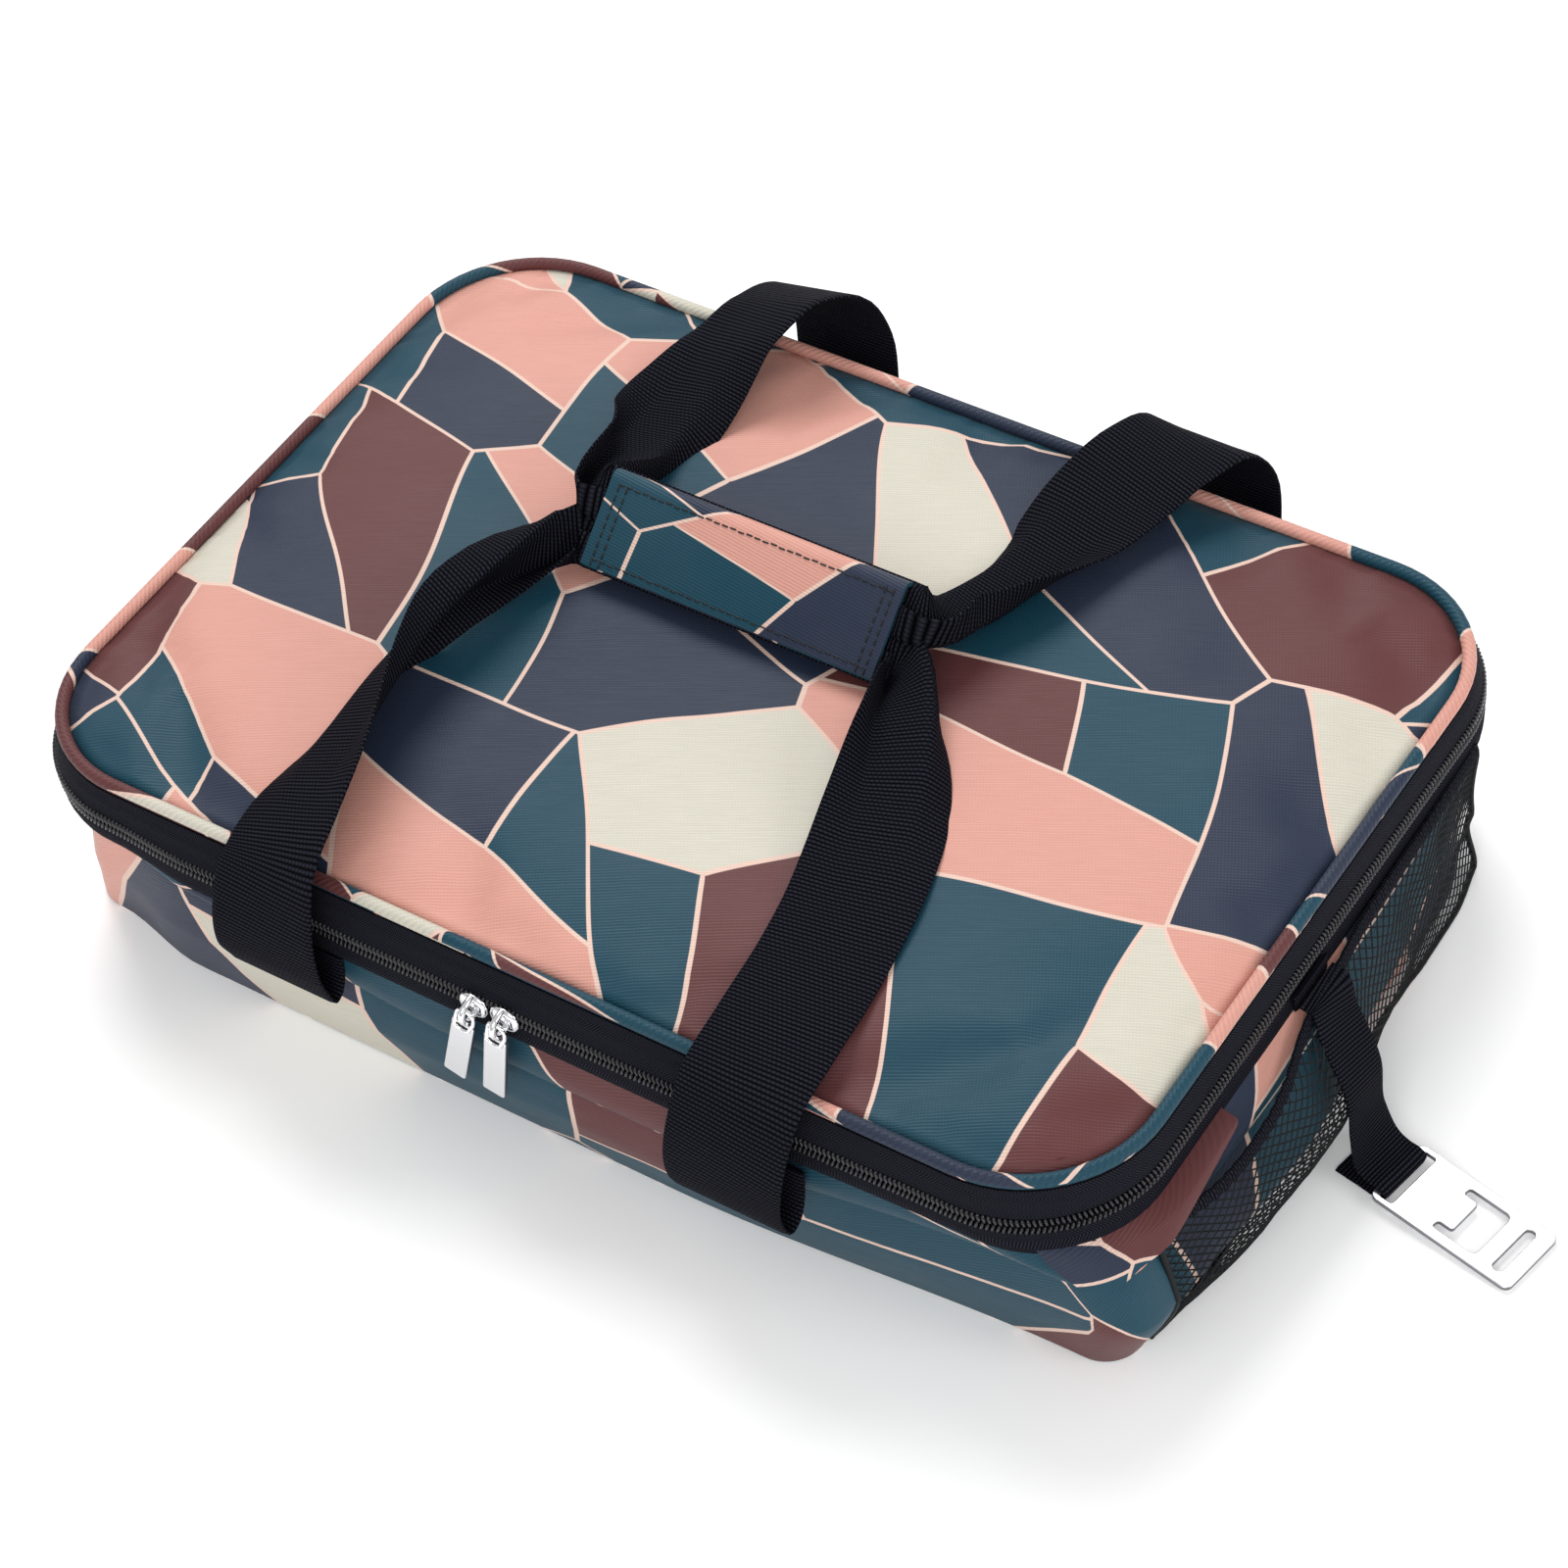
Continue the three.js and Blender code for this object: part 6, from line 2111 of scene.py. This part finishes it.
@dataclass
class Opener:
    """The bottle opener, its strap and the strap's sewn end."""

    shape: BoxShape = BOX
    width: float = 22.0
    thickness: float = 1.4
    heading: float = -11.0
    bar: tuple[float, float, float] = (263.0, -25.5, 3.8)
    root_y: float = -12.0
    anchor_z: float = 61.7
    loop_radius: float = 2.8
    loop_return: float = 18.0
    plate_thickness: float = 2.0
    plate_bevel: float = 0.4

    BODY = RoundedBox((-1.5, -14.0), (56.0, 14.0), 3.0)
    STRAP_SLOT = RoundedBox((1.5, -11.8), (6.5, 11.8), 1.0)
    END_SLOT = RoundedBox((46.0, -10.0), (50.0, 10.0), 1.9)
    MOUTH = ((28.0, 7.0, 1.6), (22.0, 7.0, 1.2), (22.0, 10.0, 1.2), (39.5, 10.0, 2.6), (39.5, -10.0, 2.6),
             (22.0, -10.0, 1.2), (22.0, -7.0, 1.2), (28.0, -7.0, 1.6))

    def build(self) -> list[bpy.types.Object]:
        """Build the sewn end, the strap and the opener."""
        return [self.anchor(), self.strap(), self.plate()]

    def _out(self) -> Points:
        """Return the direction in which the opener points."""
        angle = math.radians(self.heading)
        return np.array([math.cos(angle), math.sin(angle), 0.0])

    def _across(self) -> Points:
        """Return the level direction across the opener."""
        angle = math.radians(self.heading)
        return np.array([-math.sin(angle), math.cos(angle), 0.0])

    def anchor(self) -> bpy.types.Object:
        """The strap's end, sewn flat to the wall under the zip."""
        x = self.shape.rim.half_length + 3.3
        heights = (self.anchor_z, self.anchor_z + 4, self.anchor_z + 8)
        stations = [Station((x, self.root_y, z), (0.0, 1.0, 0.0)) for z in heights]
        draft = Draft()
        Strip(self.width, self.thickness, samples=13).loft(draft, stations, 8)
        piece = draft.build("opener_strap_end", Finish.STRAP)
        return dress(piece, "rim", "black_webbing", "opener_anchor")

    def _from_bar(self, out: float, up: float) -> Station:
        """Return a station of the strap beside the opener's bar."""
        spot = np.array(self.bar) + self._out() * out + np.array([0.0, 0.0, up])
        return Station(tuple(spot), tuple(self._across()))

    def route(self) -> list[Station]:
        """Return the strap's route, from the wall over the pocket and round the opener's bar."""
        root_x = self.shape.rim.half_length + 4.3
        pocket_x, belly_x = 231.4, 244.0
        z = self.anchor_z
        fall = [
            (root_x + 1, self.root_y, z + 4), (pocket_x - 1, self.root_y, z + 2),
            (pocket_x + 4, self.root_y - 3, z - 6), (belly_x + 3, self.root_y - 8, 38.0),
            (belly_x + 6, self.root_y - 11, 22.0),
        ]
        stations = [Station(spot, (0.0, 1.0, 0.0)) for spot in fall]
        radius = self.loop_radius
        beside = [(-9, radius + 2.2), (-4, radius)]
        for degrees in (90, 45, 0, -45, -90):
            angle = math.radians(degrees)
            beside.append((radius * math.cos(angle), radius * math.sin(angle)))
        beside += [(-self.loop_return / 2, -radius), (-self.loop_return, -radius)]
        return [*stations, *[self._from_bar(out, up) for out, up in beside]]

    def strap(self) -> bpy.types.Object:
        """The strap, looped round the opener's bar and turned back under itself."""
        draft = Draft()
        Strip(self.width, self.thickness, samples=13).loft(draft, self.route(), 120)
        piece = draft.build("opener_strap_webbing", Finish.STRAP, sharp=60)
        return dress(piece, "opener_strap", "black_webbing", "opener_strap")

    def plate(self) -> bpy.types.Object:
        """The flat opener: strap slot, cap mouth with a claw, and end slot."""
        slots = [slot.points()[::-1] for slot in (self.STRAP_SLOT, self.END_SLOT)]
        tilt = math.asin((self.bar[2] - self.plate_thickness / 2 - 0.3) / self.BODY.high[0])
        where = Matrix.Translation(Vector(self.bar) * MM) @ Matrix.Rotation(math.radians(self.heading), 4, "Z")
        where = where @ Matrix.Rotation(tilt, 4, "Y")
        piece = plate("bottle_opener", [self.BODY.points(), *slots, self._mouth()], self.plate_thickness,
                      self.plate_bevel, where, Finish.STEEL, Finish.SHADED_EDGE_METAL)
        return dress(piece, "opener", "satin_steel", "opener_plate")

    def _mouth(self) -> list[tuple[float, float]]:
        """Outline the cap mouth, with its claw between two notches."""
        corners = np.array([corner[:2] for corner in self.MOUTH])
        made = []
        for index, (*_, radius) in enumerate(self.MOUTH):
            after = corners[(index + 1) % len(corners)]
            made += rounded(corners[index - 1], corners[index], after, radius, 7)
        return [tuple(spot.tolist()) for spot in made]


# Studio

@dataclass
class Studio:
    """A pale floor, soft light and the camera of the photograph."""

    image_width: int = 1600
    focal_pixels: float = 4538.99
    azimuth: float = 39.09
    elevation: float = 47.76
    roll: float = 8.26
    eye: tuple[float, float, float] = (673.71, -822.07, 1203.58)
    sensor: float = 36.0
    floor_half: float = 6000.0
    floor_drop: float = 0.05
    sky: float = 0.54

    LAMPS = (
        ("key", (-1.4, 1.5, 2.7), 1.9, 68.0),
        ("fill", (1.2, -2.4, 2.2), 2.0, 35.0),
        ("side", (2.8, 0.2, 1.5), 1.4, 20.0),
    )

    def build(self) -> None:
        """Build the floor, the world, the lights and the camera."""
        self.floor()
        self.world()
        self.lights()
        self.camera()

    def floor(self) -> None:
        """A wide level sheet of paper under the box."""
        draft = Draft()
        side, z = self.floor_half, -self.floor_drop
        places = np.array([[(-side, -side, z), (-side, side, z)], [(side, -side, z), (side, side, z)]])
        draft.grid(places, places[..., :2] * MM)
        sheet = draft.build("studio_floor", Finish.PAPER)

    def world(self) -> None:
        """Even light from all round, shown with plain tones."""
        bpy.context.scene.view_settings.view_transform = "Standard"
        world = bpy.data.worlds.new("studio")
        bpy.context.scene.world = world
        world.use_nodes = True
        background = world.node_tree.nodes["Background"]
        background.inputs["Color"].default_value = (1.0, 1.0, 1.0, 1.0)
        background.inputs["Strength"].default_value = self.sky

    def lights(self) -> None:
        """A large soft light from behind the left, a fill from the front and a low one for the right side."""
        for name, place, size, power in self.LAMPS:
            data = bpy.data.lights.new(name, "AREA")
            data.shape, data.size, data.energy = "DISK", size, power
            lamp = bpy.data.objects.new(name, data)
            lamp.location = place
            lamp.rotation_mode = "QUATERNION"
            lamp.rotation_quaternion = (-Vector(place)).to_track_quat("-Z", "Y")
            bpy.context.scene.collection.objects.link(lamp)

    def camera(self) -> None:
        """The photograph's view, lens and slight roll."""
        turn, rise, tilt = (math.radians(value) for value in (self.azimuth, self.elevation, self.roll))
        back = Vector((math.sin(turn) * math.cos(rise), -math.cos(turn) * math.cos(rise), math.sin(rise)))
        level = Vector((math.cos(turn), math.sin(turn), 0.0))
        upright = back.cross(level)
        right = level * math.cos(tilt) - upright * math.sin(tilt)
        up = level * math.sin(tilt) + upright * math.cos(tilt)
        data = bpy.data.cameras.new("photo_camera")
        data.sensor_width = self.sensor
        data.sensor_fit = "HORIZONTAL"
        data.lens = self.focal_pixels / self.image_width * self.sensor
        data.clip_end = 50.0
        camera = bpy.data.objects.new("photo_camera", data)
        turned = Matrix((right, up, back)).transposed().to_4x4()
        camera.matrix_world = Matrix.Translation(Vector(self.eye) * MM) @ turned
        bpy.context.scene.collection.objects.link(camera)
        bpy.context.scene.camera = camera


def dress_hidden_board() -> None:
    """Give the stiff board inside the base its plastic finish."""
    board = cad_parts["base_board"]
    board.data.materials.clear()
    board.data.materials.append(WARDROBE.get(Finish.BOARD))


def main() -> None:
    """Build the cooler box and its studio."""
    logging.basicConfig(level=logging.INFO, format="%(name)s %(message)s")
    Studio().build()
    for assembly in (Walls(), Lid(), Zip(), Sliders(), Pockets(), Handles(), Grip(), Opener()):
        made = assembly.build()
        log.info("%s: %d pieces", type(assembly).__name__, len(made))
    dress_hidden_board()


if __name__ == "__main__":
    main()
